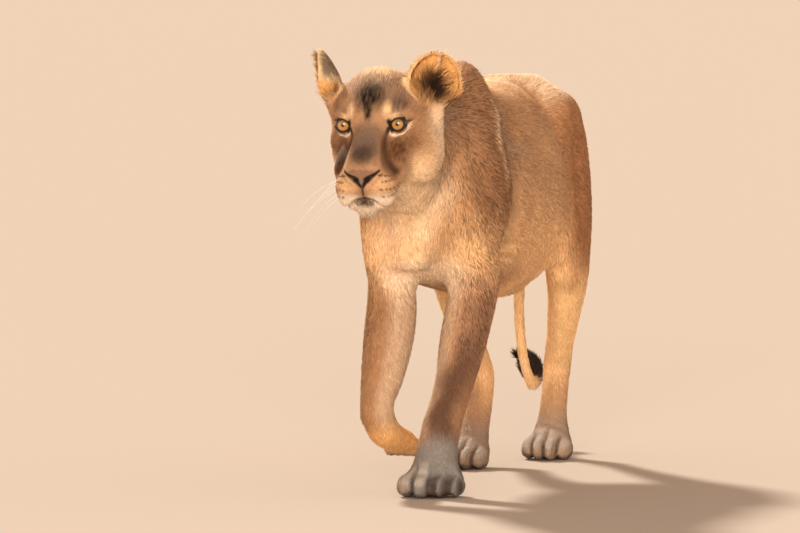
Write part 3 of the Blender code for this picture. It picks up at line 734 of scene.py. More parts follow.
# ---------------------------------------------------------------- the skin
# Folds and edges of muscle on the body: path, width and depth (less than 0 for a swelling).
FOLDS = [
    ([(85, 630, 910), (140, 600, 840), (172, 575, 770), (188, 560, 700), (190, 555, 630),
      (180, 565, 570), (155, 610, 505)], 42, 28),
    ([(120, 480, 860), (165, 440, 780), (190, 430, 700), (192, 430, 630), (180, 440, 560)], 60, -10),
    ([(-80, 560, 910), (-135, 530, 840), (-170, 500, 770), (-186, 480, 700), (-186, 470, 630),
      (-170, 470, 560), (-140, 500, 500)], 34, 26),
    ([(70, 700, 915), (110, 690, 885), (140, 680, 850)], 30, -10),
    ([(-70, 620, 915), (-110, 610, 885), (-140, 600, 850)], 30, -10),
    ([(168, 640, 700), (172, 690, 640), (168, 760, 580), (150, 820, 520)], 20, 5),
    ([(105, -40, 940), (135, -20, 880), (152, 20, 810), (160, 70, 745), (158, 85, 660)], 26, -8),
    ([(120, 10, 930), (146, 50, 870), (162, 95, 800), (170, 140, 735), (168, 150, 660),
      (156, 140, 590), (136, 130, 525)], 22, 20),
    ([(-100, -20, 930), (-126, 20, 870), (-140, 60, 800), (-146, 95, 735), (-142, 100, 660),
      (-126, 90, 590)], 22, 14),
    ([(130, -110, 820), (138, -95, 740), (144, -50, 660), (138, -15, 600)], 18, 7),
    ([(100, -170, 780), (90, -210, 700), (60, -235, 620), (30, -235, 540)], 20, 8),
    ([(-100, -190, 760), (-80, -225, 680), (-45, -240, 600)], 20, 7),
    ([(0, -260, 650), (0, -250, 580), (0, -220, 520)], 16, 6),
    ([(88, 985, 400), (66, 1020, 330), (52, 1035, 280)], 12, 6),
    ([(-112, 740, 380), (-96, 770, 310), (-84, 785, 260)], 12, 6),
    ([(120, -20, 500), (132, 10, 450), (120, -20, 380)], 14, 4),
    ([(104, -290, 900), (116, -260, 820), (110, -240, 740)], 14, 4),
    ([(110, -220, 900), (124, -190, 820), (118, -190, 740)], 14, 4),
]
CLEFTS = (-0.49, 0, 0.49)  # between the toes, across in half widths of the spread foot
TOE_SPREAD = 1.04  # the spread foot's width over the pad's


def toe_places(plan):
    """How deep each place lies in a cleft between two toes, and how far on the toes it is, from 0 to 1."""
    cleft, toe = np.zeros(len(plan)), np.zeros(len(plan))
    for x, y, width, turn in FEET:
        angle = math.radians(turn)
        gap = plan[:, :2] - (x, y)
        across = gap[:, 0] * math.cos(angle) + gap[:, 1] * math.sin(angle)
        back = gap[:, 1] * math.cos(angle) - gap[:, 0] * math.sin(angle)
        here = ramp(np.abs(across), 1.35 * width, 1.15 * width) * ramp(plan[:, 2], 0.085, 0.07)
        toe = np.maximum(toe, here * ramp(back, 0.006, -0.022) * (back > -0.12))
        for at in CLEFTS:
            reach = 0.0062 - 0.01 * (back + 0.03)
            cleft = np.maximum(cleft, fade(across - at * width * TOE_SPREAD, reach) * toe)
    return cleft, toe


def coat_depth(plan):
    """How deep the coat lies over the skin, in metres."""
    x, y, z = plan.T
    own = to_head(plan)
    depth = np.full(len(plan), 0.0055)
    depth += 0.003 * bump(plan, (0, 0.35, 0.42), (0.2, 0.4, 0.07))
    depth -= 0.0025 * ramp(z, 0.5, 0.3)
    depth -= 0.0012 * ramp(z, 0.12, 0.06)
    depth += 0.003 * bump(plan, (0, -0.22, 0.62), (0.12, 0.1, 0.12))
    head = ramp(y, -0.3, -0.38) * ramp(z, 0.62, 0.66)
    depth = between(depth, 0.0028, head)
    depth += head * 0.004 * bump(own, (0, 0.09, 0.09), (0.09, 0.05, 0.04))
    depth += head * 0.005 * bump(own, (0, -0.1, -0.165), (0.04, 0.05, 0.02))
    depth += head * 0.003 * (bump(own, (0.12, 0.08, -0.08), (0.03, 0.07, 0.09))
                              + bump(own, (-0.1, 0.07, -0.08), (0.03, 0.07, 0.08)))
    depth = between(depth, 0.0035, ramp(y, 1.02, 1.06) * ramp(np.abs(x - 0.05), 0.04, 0.06))
    depth = between(depth, 0.012, ramp(y, 1.175, 1.215))
    return between(depth, 0.0004, ear_share(plan))


UNDER_PAW = ((-0.07, -0.1, 0.09), (0.06, 0.09, 0.035), 2)  # where the lifted paw is smoothed again


def make_skin():
    """The one skin of her body, in the frame's own place."""
    form, extra = bmesh.new(), bmesh.new()
    whole = new_object("skin", masses_of_body(), WITHERS_HEIGHT)
    for shape in (relaxed(joined(whole, GRID), SMOOTHING, softness), *(ear(side) for side in EARS)):
        form.from_mesh(shape.data)
        bpy.data.objects.remove(shape)
    for root in EAR_ROOTS:
        mass(extra, *root)
    for sign in (1, -1):
        ball = (EYE_RADIUS / WITHERS_HEIGHT * EYE_SOCKET,) * 3
        mass(extra, (sign * EYE_PLACE[0], EYE_PLACE[1] + 0.002, EYE_PLACE[2]), ball)
    add_moved(form, extra, Matrix.Scale(WITHERS_HEIGHT, 4) @ head_axes())
    skin = joined(new_object("skin", form), SKIN_GRID)
    skin = relaxed(skin, 5, lambda at: 1 - 0.8 * ear_share(at / WITHERS_HEIGHT))
    skin = relaxed(skin, 14, lambda at: bump(at / WITHERS_HEIGHT, *UNDER_PAW))
    places = points_of(skin)
    set_points(skin, places - normals_of(skin) * coat_depth(places / WITHERS_HEIGHT)[:, None])

    def fine(at):
        own = at / WITHERS_HEIGHT
        head = ramp(own[:, 1], -0.3, -0.36)
        return 1 - 0.85 * head - 0.25 * ramp(own[:, 2], 0.14, 0.1) * (1 - head)

    skin = thinned(skin, SKIN_TRIANGLES, fine)
    subdivided(skin, *FINE)
    subdivided(skin, *FINEST)
    plan = points_of(skin) / WITHERS_HEIGHT
    normals = normals_of(skin)
    for path, width, depth in FOLDS:
        plan = grooved(plan, normals, thousandths(path), width / 1000, depth / 1000)
    cleft, toe = toe_places(plan)
    sunk = 0.0085 * cleft - 0.002 * toe * ramp(plan[:, 2], 0, 0.02)
    plan = plan - (normals * (1, 1, 0.6)) * sunk[:, None]
    own = to_head(plan)
    face = (plan[:, 1] < FACE_START) & (plan[:, 2] > 0.62)
    own[face] = shape_face(own[face], (normals @ HEAD_INVERSE[:3, :3].T)[face])
    plan[face] = from_head(own[face])
    plan[:, 2] = np.maximum(plan[:, 2], 0)
    set_points(skin, plan * WITHERS_HEIGHT + SHIFT)
    return skin


# ---------------------------------------------------------------- colours
SAND = (0.47, 0.25, 0.118)
FLANK = (0.455, 0.262, 0.145)
# Darker on the thighs, partly painted shade.
THIGH = (0.42, 0.195, 0.09)
PALE = (0.92, 0.56, 0.29)
CHEST = (0.66, 0.47, 0.36)
SHANK = (0.5, 0.29, 0.155)
# Pale throat and lower chest, made paler still as painted bounce light from the ground where they face down.
JAW = (0.98, 0.74, 0.53)
THROAT = (0.98, 0.7, 0.44)
LEG_INNER = (0.58, 0.4, 0.27)
# Painted shade: a cool grey for the left forepaw, which stands in shade.
PAW_PAINTED_SHADE = (0.22, 0.206, 0.2)
# Painted light: the toes are paler on top, where they face up.
PAW_TOP_PAINTED_LIGHT = (0.5, 0.45, 0.41)
PAW = (0.36, 0.255, 0.19)
SHOULDER_TOP = (0.285, 0.15, 0.082)
SHOULDER = (0.3, 0.148, 0.078)
# Painted highlight along the top of the back and the withers, where the sun grazes them.
BACK_PAINTED_HIGHLIGHT = (0.75, 0.5, 0.31)
FORELEG = (0.36, 0.19, 0.095)
FORELEG_LEFT = (0.49, 0.265, 0.15)
FORELEG_DARK = (0.105, 0.052, 0.03)
# Paler lower hind legs, partly their own colour and partly painted bounce light from the ground.
HINDLEG = (0.98, 0.63, 0.32)
GOLD = (0.95, 0.52, 0.2)
NECK_TOP = (0.36, 0.235, 0.155)
NECK_SIDE = (0.55, 0.31, 0.165)
FACE = (0.45, 0.25, 0.135)
FOREHEAD = (0.33, 0.205, 0.135)
FOREHEAD_DARK = (0.012, 0.008, 0.006)
BRIDGE = (0.165, 0.108, 0.08)
BRIDGE_DARK = (0.045, 0.028, 0.019)
BROW = (0.78, 0.53, 0.3)
BROW_DARK = (0.135, 0.086, 0.062)
MIDFACE = (0.115, 0.042, 0.015)
CHEEK_TOP = (0.42, 0.225, 0.115)
PAD_DARK = (0.3, 0.17, 0.1)
CHEEK = (0.62, 0.36, 0.185)
RUFF = (0.95, 0.71, 0.5)
WHITE = (0.92, 0.76, 0.6)
PAD = (0.66, 0.4, 0.21)
LEATHER = (0.26, 0.145, 0.088)
BLACK = (0.01, 0.007, 0.006)
DARK = (0.045, 0.024, 0.015)
CROWN = (0.98, 0.68, 0.39)
# The ears' cups: orange, brightened as painted light for the glow through the ear, then painted shade, brown
# and dark, into the hollow.
EAR_ORANGE = (0.95, 0.5, 0.19)
EAR_HOLLOW_SHADE = (0.014, 0.006, 0.004)
EAR_BROWN_SHADE = (0.11, 0.045, 0.018)
EAR_RIM = (0.8, 0.56, 0.32)
EAR_BACK = (0.085, 0.072, 0.066)
TAIL_TAN = (0.92, 0.6, 0.32)
TUFT = (0.03, 0.019, 0.014)
TINTED = 0.86  # how much darker the skin is than the coat over it


def paint(colours, other, share):
    """Turns the colours towards another by a share for each point."""
    colours += (np.array(other) - colours) * np.clip(share, 0, 1)[:, None]


LIP_WIDTH, SPOT_SIZE = 0.0024, 0.003  # how wide the line between the lips is, and each whisker's spot
WHISKER_ROWS = ((-0.064, 4), (-0.0797, 6), (-0.096, 7), (-0.111, 5))  # height, and how many spots


def spots():
    """Where the whiskers grow, on the head's own axes: four rows on each side."""
    found = []
    for sign in (1, -1):
        for row, (height, count) in enumerate(WHISKER_ROWS):
            for step in range(count):
                turn = math.radians(12 + 78 * (step + 0.35 * (row % 2)) / 6.5)
                out, back = 0.033 + 0.037 * math.sin(turn), 0.058 * (1 - math.cos(turn))
                found.append((sign * out, -0.154 + back, height - 0.005 * step / 6))
    return np.array(found)


# Patches on the face, in the order in which they are painted: colour, strength, centre for her left, reach
# each way, and how sharp the edge is.
FACE_PATCHES = [
    (CHEEK_TOP, 0.9, (0.095, 0.01, -0.01), (0.045, 0.06, 0.04), 1.5),
    (CHEEK, 1.1, (0.09, 0.025, -0.095), (0.055, 0.08, 0.05), 1.5),
    (RUFF, 1.0, (0.14, 0.07, -0.06), (0.031, 0.06, 0.085), 1.5),
    (FOREHEAD, 0.95, (0, 0.035, 0.062), (0.086, 0.06, 0.046), 2.5),
    (CROWN, 0.9, (0, 0.08, 0.103), (0.08, 0.045, 0.019), 1.6),
    (FOREHEAD_DARK, 0.95, (0, 0.014, 0.062), (0.037, 0.08, 0.024), 1.6),
    (FOREHEAD_DARK, 0.92, (0, -0.02, 0.038), (0.01, 0.04, 0.024), 1.8),
    (BROW_DARK, 0.85, (0.067, -0.004, 0.049), (0.027, 0.04, 0.017), 1.3),
    (BROW, 0.9, (0.041, -0.022, 0.043), (0.009, 0.03, 0.016), 1.5),
    (BROW, 0.7, (0.052, -0.02, 0.029), (0.013, 0.03, 0.006), 1.8),
    (BRIDGE, 0.95, (0, -0.07, -0.02), (0.036, 0.09, 0.046), 3.0),
    (MIDFACE, 0.92, (0.062, -0.058, -0.04), (0.028, 0.055, 0.037), 1.5),
    (MIDFACE, 0.6, (0.088, -0.015, -0.04), (0.022, 0.04, 0.03), 1.3),
    (BRIDGE_DARK, 0.95, (0, -0.122, -0.027), (0.029, 0.034, 0.02), 1.5),
    (PAD, 0.97, (0.04, -0.135, -0.084), (0.034, 0.045, 0.022), 2.0),
    (WHITE, 0.95, (0.034, -0.135, -0.123), (0.036, 0.05, 0.02), 2.0),
    (WHITE, 0.95, (0, -0.115, -0.158), (0.05, 0.06, 0.024), 2.0),
    # pale under the jaw, partly painted bounce light
    (THROAT, 1.0, (0.06, 0.02, -0.152), (0.065, 0.12, 0.048), 1.8),
    (THROAT, 0.9, (0.098, 0.01, -0.112), (0.045, 0.09, 0.04), 1.3),
    (PAD_DARK, 0.85, (0, -0.16, -0.1), (0.01, 0.02, 0.012), 2.0),
    (DARK, 0.9, (0, -0.15, -0.1225), (0.011, 0.03, 0.0065), 2.0),
    (LEATHER, 1.1, (0, -0.155, -0.057), (0.036, 0.022, 0.0095), 3.0),
    (LEATHER, 1.1, (0, -0.16, -0.07), (0.013, 0.022, 0.014), 3.0),
]
STREAKED = (FOREHEAD_DARK, BROW_DARK, MIDFACE, BROW)
# Painted light and shade on her right side only: her brow lighter, and the side of her muzzle darker.
RIGHT_PAINTED_LIGHT_AND_SHADE = [  # as before, on her right side only
    # painted light on her right brow
    (CHEEK_TOP, 0.85, (-0.064, 0, 0.058), (0.026, 0.05, 0.02), 1.5),
    # painted shade on the side of her right muzzle
    (MIDFACE, 0.95, (-0.062, -0.08, -0.036), (0.022, 0.05, 0.04), 1.8),
    (DARK, 0.85, (-0.056, -0.088, -0.046), (0.011, 0.03, 0.028), 1.6),
]
FACE_LINES = [  # path, colour, how wide it is at its start and at its end, and strength
    (UNDER_EYE, WHITE, 0.0036, 0.0022, 0.97), (TEAR_LINE, MIDFACE, 0.005, 0.011, 0.8),
    (TEAR_LINE, DARK, 0.004, 0.0052, 0.97), (NOSTRIL, BLACK, 0.003, 0.0072, 1.0),
    (NOSTRIL_TAIL, BLACK, 0.0066, 0.003, 1.0), (PHILTRUM, BLACK, 0.0024, 0.0024, 0.95),
    (OUTER_CORNER, BLACK, 0.005, 0.0014, 0.95), (INNER_CORNER, BLACK, 0.0032, 0.0026, 1.0),
]


def face_colours(own, colours):
    """Paints her face's markings, and painted light and shade on her right side."""
    x, y, z = own.T
    here = columns(np.abs(x), y, z)
    folded = here + wandering(own, 0.005, 0.004)
    paint(colours, FACE, ramp(y, 0.16, 0.08) * ramp(z, -0.2, -0.12))
    streaks = 0.62 + 0.85 * noise(own * (1, 0.25, 0.4), 0.0035)
    for colour, strength, *spot in FACE_PATCHES:
        paint(colours, colour, strength * bump(folded, *spot) * (streaks if colour in STREAKED else 1))
    for path, colour, wide, narrow, strength in FACE_LINES:
        away, along = line_gap(here, path, 0.03)
        paint(colours, colour, strength * fade(away, wide + (narrow - wide) * along, 4))
    # painted light and shade on her right side
    for colour, strength, *spot in RIGHT_PAINTED_LIGHT_AND_SHADE:
        paint(colours, colour, strength * bump(own, *spot))
    away, along = line_gap(here, MOUTH, 0.03)
    paint(colours, BLACK, (0.95 - 0.65 * ramp(along, 0.03, 0.25)) * fade(away, LIP_WIDTH, 4))
    lip = bump(folded, (0, -0.15, -0.1275), (0.028, 0.03, 0.0115), 1.8)
    paint(colours, DARK, 0.9 * (lip * ramp(noise(own, 0.0026), 0.2, 0.42)))
    for spot in spots():
        root = own[((own - spot) ** 2).sum(1).argmin()]
        paint(colours, DARK, 0.95 * fade(np.linalg.norm(own - root, axis=1), SPOT_SIZE, 4))
    for sign in (1, -1):
        across, up, front, far, *_ = eye_space(own, sign)
        measure = lid_measure(across, up)
        near = (front > 0.1) & (far < 2.6)
        over = ramp(up, 0.15, 0.45) * ramp(measure, 1.95, 2.1) * ramp(measure, 2.6, 2.4)
        paint(colours, BROW, 0.2 * over * near)
        edge = 1.2 + 0.1 * ramp(up, -0.1, 0.3)
        rim = ramp(measure, edge + 0.09, edge) * ramp(across * far, -1.06, -0.96)
        paint(colours, BLACK, rim * near * (far < 1.8))


EAR_BLACK = {"left": (0.72, 0.5), "right": (2.0, 0.52)}  # the reach of the patch on each ear's back
# A painted highlight and a painted shadow along the slit in the left ear's rim.
EAR_SLIT_LIGHT_AND_SHADE = ((RUFF, 0.115), (EAR_BROWN_SHADE, 0.175))  # colour, and how far out


def ear_colours(plan, colours):
    """Paints orange cups, brightened as painted light for the glow through the ear, with painted shade
    darkening their hairy hollows, pale rims, black patches on the ears' backs, and a painted highlight and
    shadow along the left ear's slit.
    """
    for side in EARS:
        even, far = in_ear(plan, side)
        share = ramp(far, 1.2, 1.06) * ramp(even[:, 2], -0.8, -0.45)
        own = even + 0.5 * (noise(plan, 0.0045) - 0.5)[:, None] + 0.3 * (noise(plan, 0.0018) - 0.5)[:, None]
        rough = own[:, [0, 2]]
        inner = share * ramp(far, 0.975, 0.94)
        back = share * ramp(even[:, 1], -0.15, 0.15) * ramp(far, 0.955, 0.985)
        paint(colours, EAR_RIM, share)
        paint(colours, EAR_BACK, back * bump(rough, (0, 0.3), EAR_BLACK[side], 2))
        # the cup's orange, bright as painted glow of light through the ear
        paint(colours, EAR_ORANGE, inner)
        # painted shade, browner and then dark towards the hollow
        paint(colours, EAR_BROWN_SHADE, inner * 0.9 * bump(rough, (0.05, -0.3), (0.68, 0.75), 2.5))
        paint(colours, EAR_HOLLOW_SHADE, inner * bump(rough, (0.12, -0.3), (0.48, 0.55), 2))
        # a painted highlight and a painted shadow along the slit
        for colour, middle in EAR_SLIT_LIGHT_AND_SHADE if side == "left" else ():
            line = fade(even[:, 0] - middle, 0.03, 4) * ramp(even[:, 2], 0.36, 0.46)
            paint(colours, colour, 0.9 * inner * line)


# Patches on the body and legs, as for the face.
BODY_PATCHES = [
    (FLANK, 1.0, (0.18, 0.4, 0.72), (0.16, 0.36, 0.18), 1.5),
    (FLANK, 1.0, (-0.18, 0.34, 0.72), (0.16, 0.36, 0.18), 1.5),
    (THIGH, 1.1, (0.16, 0.82, 0.69), (0.18, 0.26, 0.26), 1.4),
    (THIGH, 1.0, (-0.16, 0.72, 0.72), (0.18, 0.26, 0.27), 1.2),
    (THIGH, 0.9, (0.17, 0.85, 0.54), (0.09, 0.14, 0.12), 1.0),
    (SHOULDER_TOP, 1.0, (0.13, -0.04, 0.86), (0.11, 0.17, 0.12), 1.2),
    (SHOULDER_TOP, 1.0, (-0.12, -0.04, 0.86), (0.11, 0.17, 0.12), 1.2),
    (SHOULDER, 1.0, (0.15, -0.02, 0.66), (0.07, 0.15, 0.17), 1.2),
    (SHOULDER, 1.0, (-0.14, -0.04, 0.66), (0.07, 0.15, 0.17), 1.2),
    (SHOULDER, 0.7, (0.17, 0.88, 0.61), (0.08, 0.12, 0.08), 1.2),
    # painted highlight along the back
    (BACK_PAINTED_HIGHLIGHT, 1.1, (0, 0.55, 0.95), (0.13, 0.48, 0.06), 1.6),
    # painted highlight on the top of the left hip
    (RUFF, 0.95, (0.1, 0.74, 0.905), (0.06, 0.15, 0.045), 1.5),
    # painted highlight on the withers
    (BACK_PAINTED_HIGHLIGHT, 0.6, (0, -0.1, 1.0), (0.05, 0.2, 0.05), 1.5),
    (NECK_TOP, 0.9, (0.1, -0.22, 0.9), (0.05, 0.1, 0.08), 1.5),
    (NECK_TOP, 0.9, (-0.09, -0.22, 0.9), (0.05, 0.1, 0.08), 1.5),
    (NECK_SIDE, 1.0, (0.1, -0.17, 0.74), (0.06, 0.09, 0.09), 1.5),
    (NECK_SIDE, 1.0, (-0.1, -0.17, 0.74), (0.06, 0.09, 0.09), 1.5),
    (CHEST, 1.0, (0.01, -0.28, 0.66), (0.12, 0.13, 0.16), 2.5),
    (CHEST, 0.9, (0, -0.22, 0.565), (0.12, 0.12, 0.035), 1.6),
    # pale throat and lower chest, partly painted bounce light
    (THROAT, 1.0, (0.03, -0.27, 0.675), (0.09, 0.11, 0.085), 2.0),
    (THROAT, 0.75, (0.02, -0.13, 0.495), (0.14, 0.17, 0.06), 2.0),
    (GOLD, 0.35, (-0.12, -0.18, 0.6), (0.05, 0.08, 0.08), 1.5),
]
# The brown down the left foreleg.
STRIPE = thousandths([
    (136, -45, 440), (128, -60, 370), (112, -85, 305), (86, -105, 250), (76, -117, 215), (69, -140, 160),
    (67, -148, 115),
])
# A painted highlight along the edge of the left shoulder, with a band of painted shade just behind it, and two
# short dark marks, at the groin and on the thigh.
SHOULDER_HIGHLIGHT_LINE = thousandths([
    (132, -8, 930), (146, -8, 880), (155, -12, 848), (161, -8, 800), (168, 16, 754), (168, 28, 710),
])
STRIPE_WIDTH, MARK_WIDTH = 0.04, 0.006
MARKS = [thousandths([(188, 585, 517), (200, 600, 500)]), thousandths([(190, 440, 507), (190, 452, 490)])]


def coat_colours(plan, normals):
    """The colour of skin and coat at these places of the plan, with painted light and shade laid in at some
    places.
    """
    x, y, z = plan.T
    down, inward = -normals[:, 2], -normals[:, 0] * np.sign(x)
    wander = wandering(plan, 0.035, 0.05)
    colours = np.tile(np.array(SAND), (len(plan), 1))
    for colour, strength, *spot in BODY_PATCHES:
        paint(colours, colour, strength * bump(plan + wander, *spot))
    # Paler underneath: partly the coat's own pale underside, partly painted bounce light on surfaces that face
    # down.
    under = ramp(down, 0, 0.6) * ramp(z, 0.7, 0.54) * ramp(y, -0.2, 0)
    low = ramp(z + 2 * wander[:, 2], 0.74, 0.49) ** 1.5 * ramp(y, 0.72, 0.62)
    legs, ankles = ramp(z, 0.56, 0.44), ramp(z, 0.1, 0.2)
    front, left = ramp(y, 0.35, 0.25), ramp(x, -0.02, 0.02)
    away, along = distance_to_path(plan + wander * 0.5, STRIPE, 0.09)
    # The lifted paw, which gets painted bounce light underneath.
    lifted = bump(plan, (-0.05, -0.12, 0.125), (0.08, 0.12, 0.07), 2)
    cleft, toe = toe_places(plan)
    rump = ramp(y, 0.8, 0.93) * ramp(z, 0.36, 0.5)
    for colour, share in (
        # pale underside, partly painted bounce light
        (PALE, np.maximum(under, low) * ramp(z, 0.42, 0.48)),
        (FORELEG, legs * front * (1 - left)),
        (FORELEG_LEFT, legs * front * left),
        (FORELEG_DARK, bump(plan, (-0.135, -0.17, 0.24), (0.032, 0.1, 0.09), 1.5) * front * 0.6),
        # paler lower hind legs, partly painted bounce light
        (HINDLEG, ramp(z + wander[:, 2], 0.5, 0.38) * (1 - front)),
        (SHANK, ramp(z, 0.26, 0.16) * (1 - front)),
        (PALE, ramp(inward, 0.1, 0.7) * legs * ankles * 0.9 * (1 - front)),
        (LEG_INNER, ramp(inward, -0.1, 0.6) * legs * ankles * 0.9 * front),
        # pale between the forelegs, partly painted bounce light
        (JAW, bump(plan + wander * 0.3, (0.02, -0.13, 0.5), (0.09, 0.16, 0.048), 2)),
        (FORELEG_DARK, fade(away, STRIPE_WIDTH, 3) * (0.55 + 0.43 * ramp(along, 0, 0.5))),
        (PAW, ramp(z, 0.15, 0.07)),
        # painted shade on the left forepaw
        (PAW_PAINTED_SHADE, ramp(z + wander[:, 2], 0.17, 0.08) * front * left),
        # painted bounce light under the lifted right forepaw
        (GOLD, lifted * ramp(x, 0.012, -0.008) * 0.9),
        # painted light on the tops of the toes
        (PAW_TOP_PAINTED_LIGHT, 0.75 * (toe * ramp(-down, 0.15, 0.65) * (1 - ramp(cleft, 0.2, 0.6)))),
        # painted shade in the clefts between the toes
        (DARK, 0.85 * ramp(cleft, 0.45, 0.95) * ramp(z, 0.062, 0.03)),
        (DARK, 0.6 * toe * ramp(z + 0.4 * wander[:, 2], 0.014, 0.004)),
        (PALE, rump * ramp(np.abs(x), 0.09, 0.05) * 0.6),
        (TAIL_TAN, ramp(y, 1.0, 1.05) * ramp(np.abs(x - 0.05), 0.05, 0.065)),
        (TUFT, ramp(y, 1.18, 1.21) * ramp(z, 0.35, 0.3) * (1 - 0.5 * ramp(x, -0.088, -0.105))),
    ):
        paint(colours, colour, share)
    for ends in MARKS:
        away, _ = distance_to_path(plan, ends, 0.04)
        paint(colours, MIDFACE, 0.7 * fade(away, MARK_WIDTH))
    # Painted shade in a band behind the shoulder's edge, then a painted highlight along the edge.
    for colour, behind, width in ((NECK_TOP, 0.15, 0.022), (RUFF, 0, 0.0075)):
        away, _ = line_gap(plan, np.array(SHOULDER_HIGHLIGHT_LINE) + (0, behind, 0), 0.06, (0.2, 1, 1))
        paint(colours, colour, 0.9 * fade(away, width) * ramp(x, 0.05, 0.09))
    face = ramp(y, -0.27, -0.34) * ramp(z, 0.6, 0.66)
    near = np.flatnonzero(face > 0)
    painted = colours[near]
    face_colours(to_head(plan)[near], painted)
    painted = colours[near] + (painted - colours[near]) * face[near, None]
    ear_colours(plan[near], painted)
    colours[near] = painted
    return colours


def speckle(plan):
    """How brown-flecked the coat is, from 0 to 1."""
    x, y, z = plan.T
    front = ramp(y, 0.3, 0.05) * ramp(z, 0.2, 0.35) * ramp(y, -0.38, -0.25)
    front = front * (0.35 + 0.65 * ramp(np.abs(x), 0.06, 0.11))
    hips = 0.5 * ramp(y, 0.5, 0.7) * ramp(z, 0.4, 0.55)
    return np.clip(0.25 + 0.75 * front + hips * 0.6 + 0.5 * ramp(y, -0.32, -0.4) * 0.3, 0, 1)


# ---------------------------------------------------------------- how the coat lies
def turned(flow, direction, share):
    """The flow turned towards a direction by a share for each point."""
    return flow + (np.broadcast_to(direction, flow.shape) - flow) * np.clip(share, 0, 1)[:, None]


def head_flow(plan):
    """The way that the head's hair points, on the head's own axes."""
    x, y, z = to_head(plan).T
    out, pad = np.sign(x), ramp(y, -0.06, -0.1) * ramp(z, -0.05, -0.075)
    flow = columns(0.45 * out * ramp(np.abs(x), 0.02, 0.08), 1, 0.55 - 0.9 * ramp(z, 0.02, -0.08))
    flow = turned(flow, columns(0.9 * out, 0.55, -0.45), pad)
    flow = turned(flow, columns(0.25 * out, 0.3, -1), ramp(z, -0.125, -0.142))
    for side in EARS:
        ear_own, far = in_ear(plan, side)
        axes = HEAD_INVERSE[:3, :3] @ np.array(ear_axes(side))[:3, :3]
        spread = axes @ columns(ear_own[:, 0], -0.25, 0.55 + 0.5 * ear_own[:, 2]).T
        flow = turned(flow, spread.T, ramp(far, 1.3, 1.1) * ramp(ear_own[:, 2], -0.8, -0.4))
    return flow


def lie_of(plan, normals):
    """The way that the coat points at these places, along the skin."""
    x, y, z = plan.T
    flow = columns(0, 1, -0.25 - 2.2 * np.abs(x) * ramp(z, 0.95, 0.75))
    flow = turned(flow, columns(0.2 * np.sign(x), 0.15, -1), ramp(y, -0.02, -0.14) * ramp(z, 0.86, 0.74))
    flow = turned(flow, (0, 0.35, -1), ramp(z, 0.54, 0.42) * ramp(y, 0.35, 0.25))
    flow = turned(flow, (0, 0.55, -1), ramp(z, 0.66, 0.5) * ramp(y, 0.55, 0.66))
    flow = turned(flow, (0, 0.2, -1), ramp(z, 0.36, 0.28))
    flow = turned(flow, (0, -1, -0.35), ramp(z, 0.11, 0.07))
    on_tail = (y > 1.0) & (np.abs(x - 0.05) > 0.045) | (y > 1.12)
    if on_tail.any():
        line = path_points([stop[:3] for stop in TAIL], 0.004)
        runs = unit_rows(np.gradient(line, axis=0))
        flow[on_tail] = runs[[np.linalg.norm(line - point, axis=1).argmin() for point in plan[on_tail]]]
    head = (ramp(y, -0.28, -0.36) * ramp(z, 0.6, 0.66))[:, None]
    flow = flow + (head_flow(plan) @ HEAD_MATRIX[:3, :3].T - flow) * head
    flow = flow - normals * (flow * normals).sum(1)[:, None]
    return flow / np.maximum(np.linalg.norm(flow, axis=1), 1e-6)[:, None]


# Longer or shorter hair on the head, on its own axes: centre for her left and reach; length in metres, how
# steeply the locks stand, width in metres, and how thickly they grow.
HEAD_HAIR = [
    ((0, 0.08, 0.098), (0.085, 0.045, 0.03), 0.022, 0.42, 0.0014, 3.0),
    ((0.125, 0.085, -0.06), (0.035, 0.065, 0.09), 0.02, 0.22, 0.0014, 2.2),
    ((0, -0.1, -0.162), (0.04, 0.055, 0.022), 0.022, 0.45, 0.001, 3.6),
    ((0, -0.155, -0.124), (0.026, 0.03, 0.008), 0.0085, 0.4, 0.0008, 5.0),
]
# The nose leather, and the lines where nothing grows, with their widths.
BARE_SPOTS = [((0, -0.155, -0.057), (0.037, 0.022, 0.0095), 3), ((0, -0.16, -0.07), (0.014, 0.022, 0.014), 3)]
BARE_LINES = [(NOSTRIL, 0.006), (NOSTRIL_TAIL, 0.0055), (PHILTRUM, 0.0034), (MOUTH, 0.0028),
              (INNER_CORNER, 0.003)]


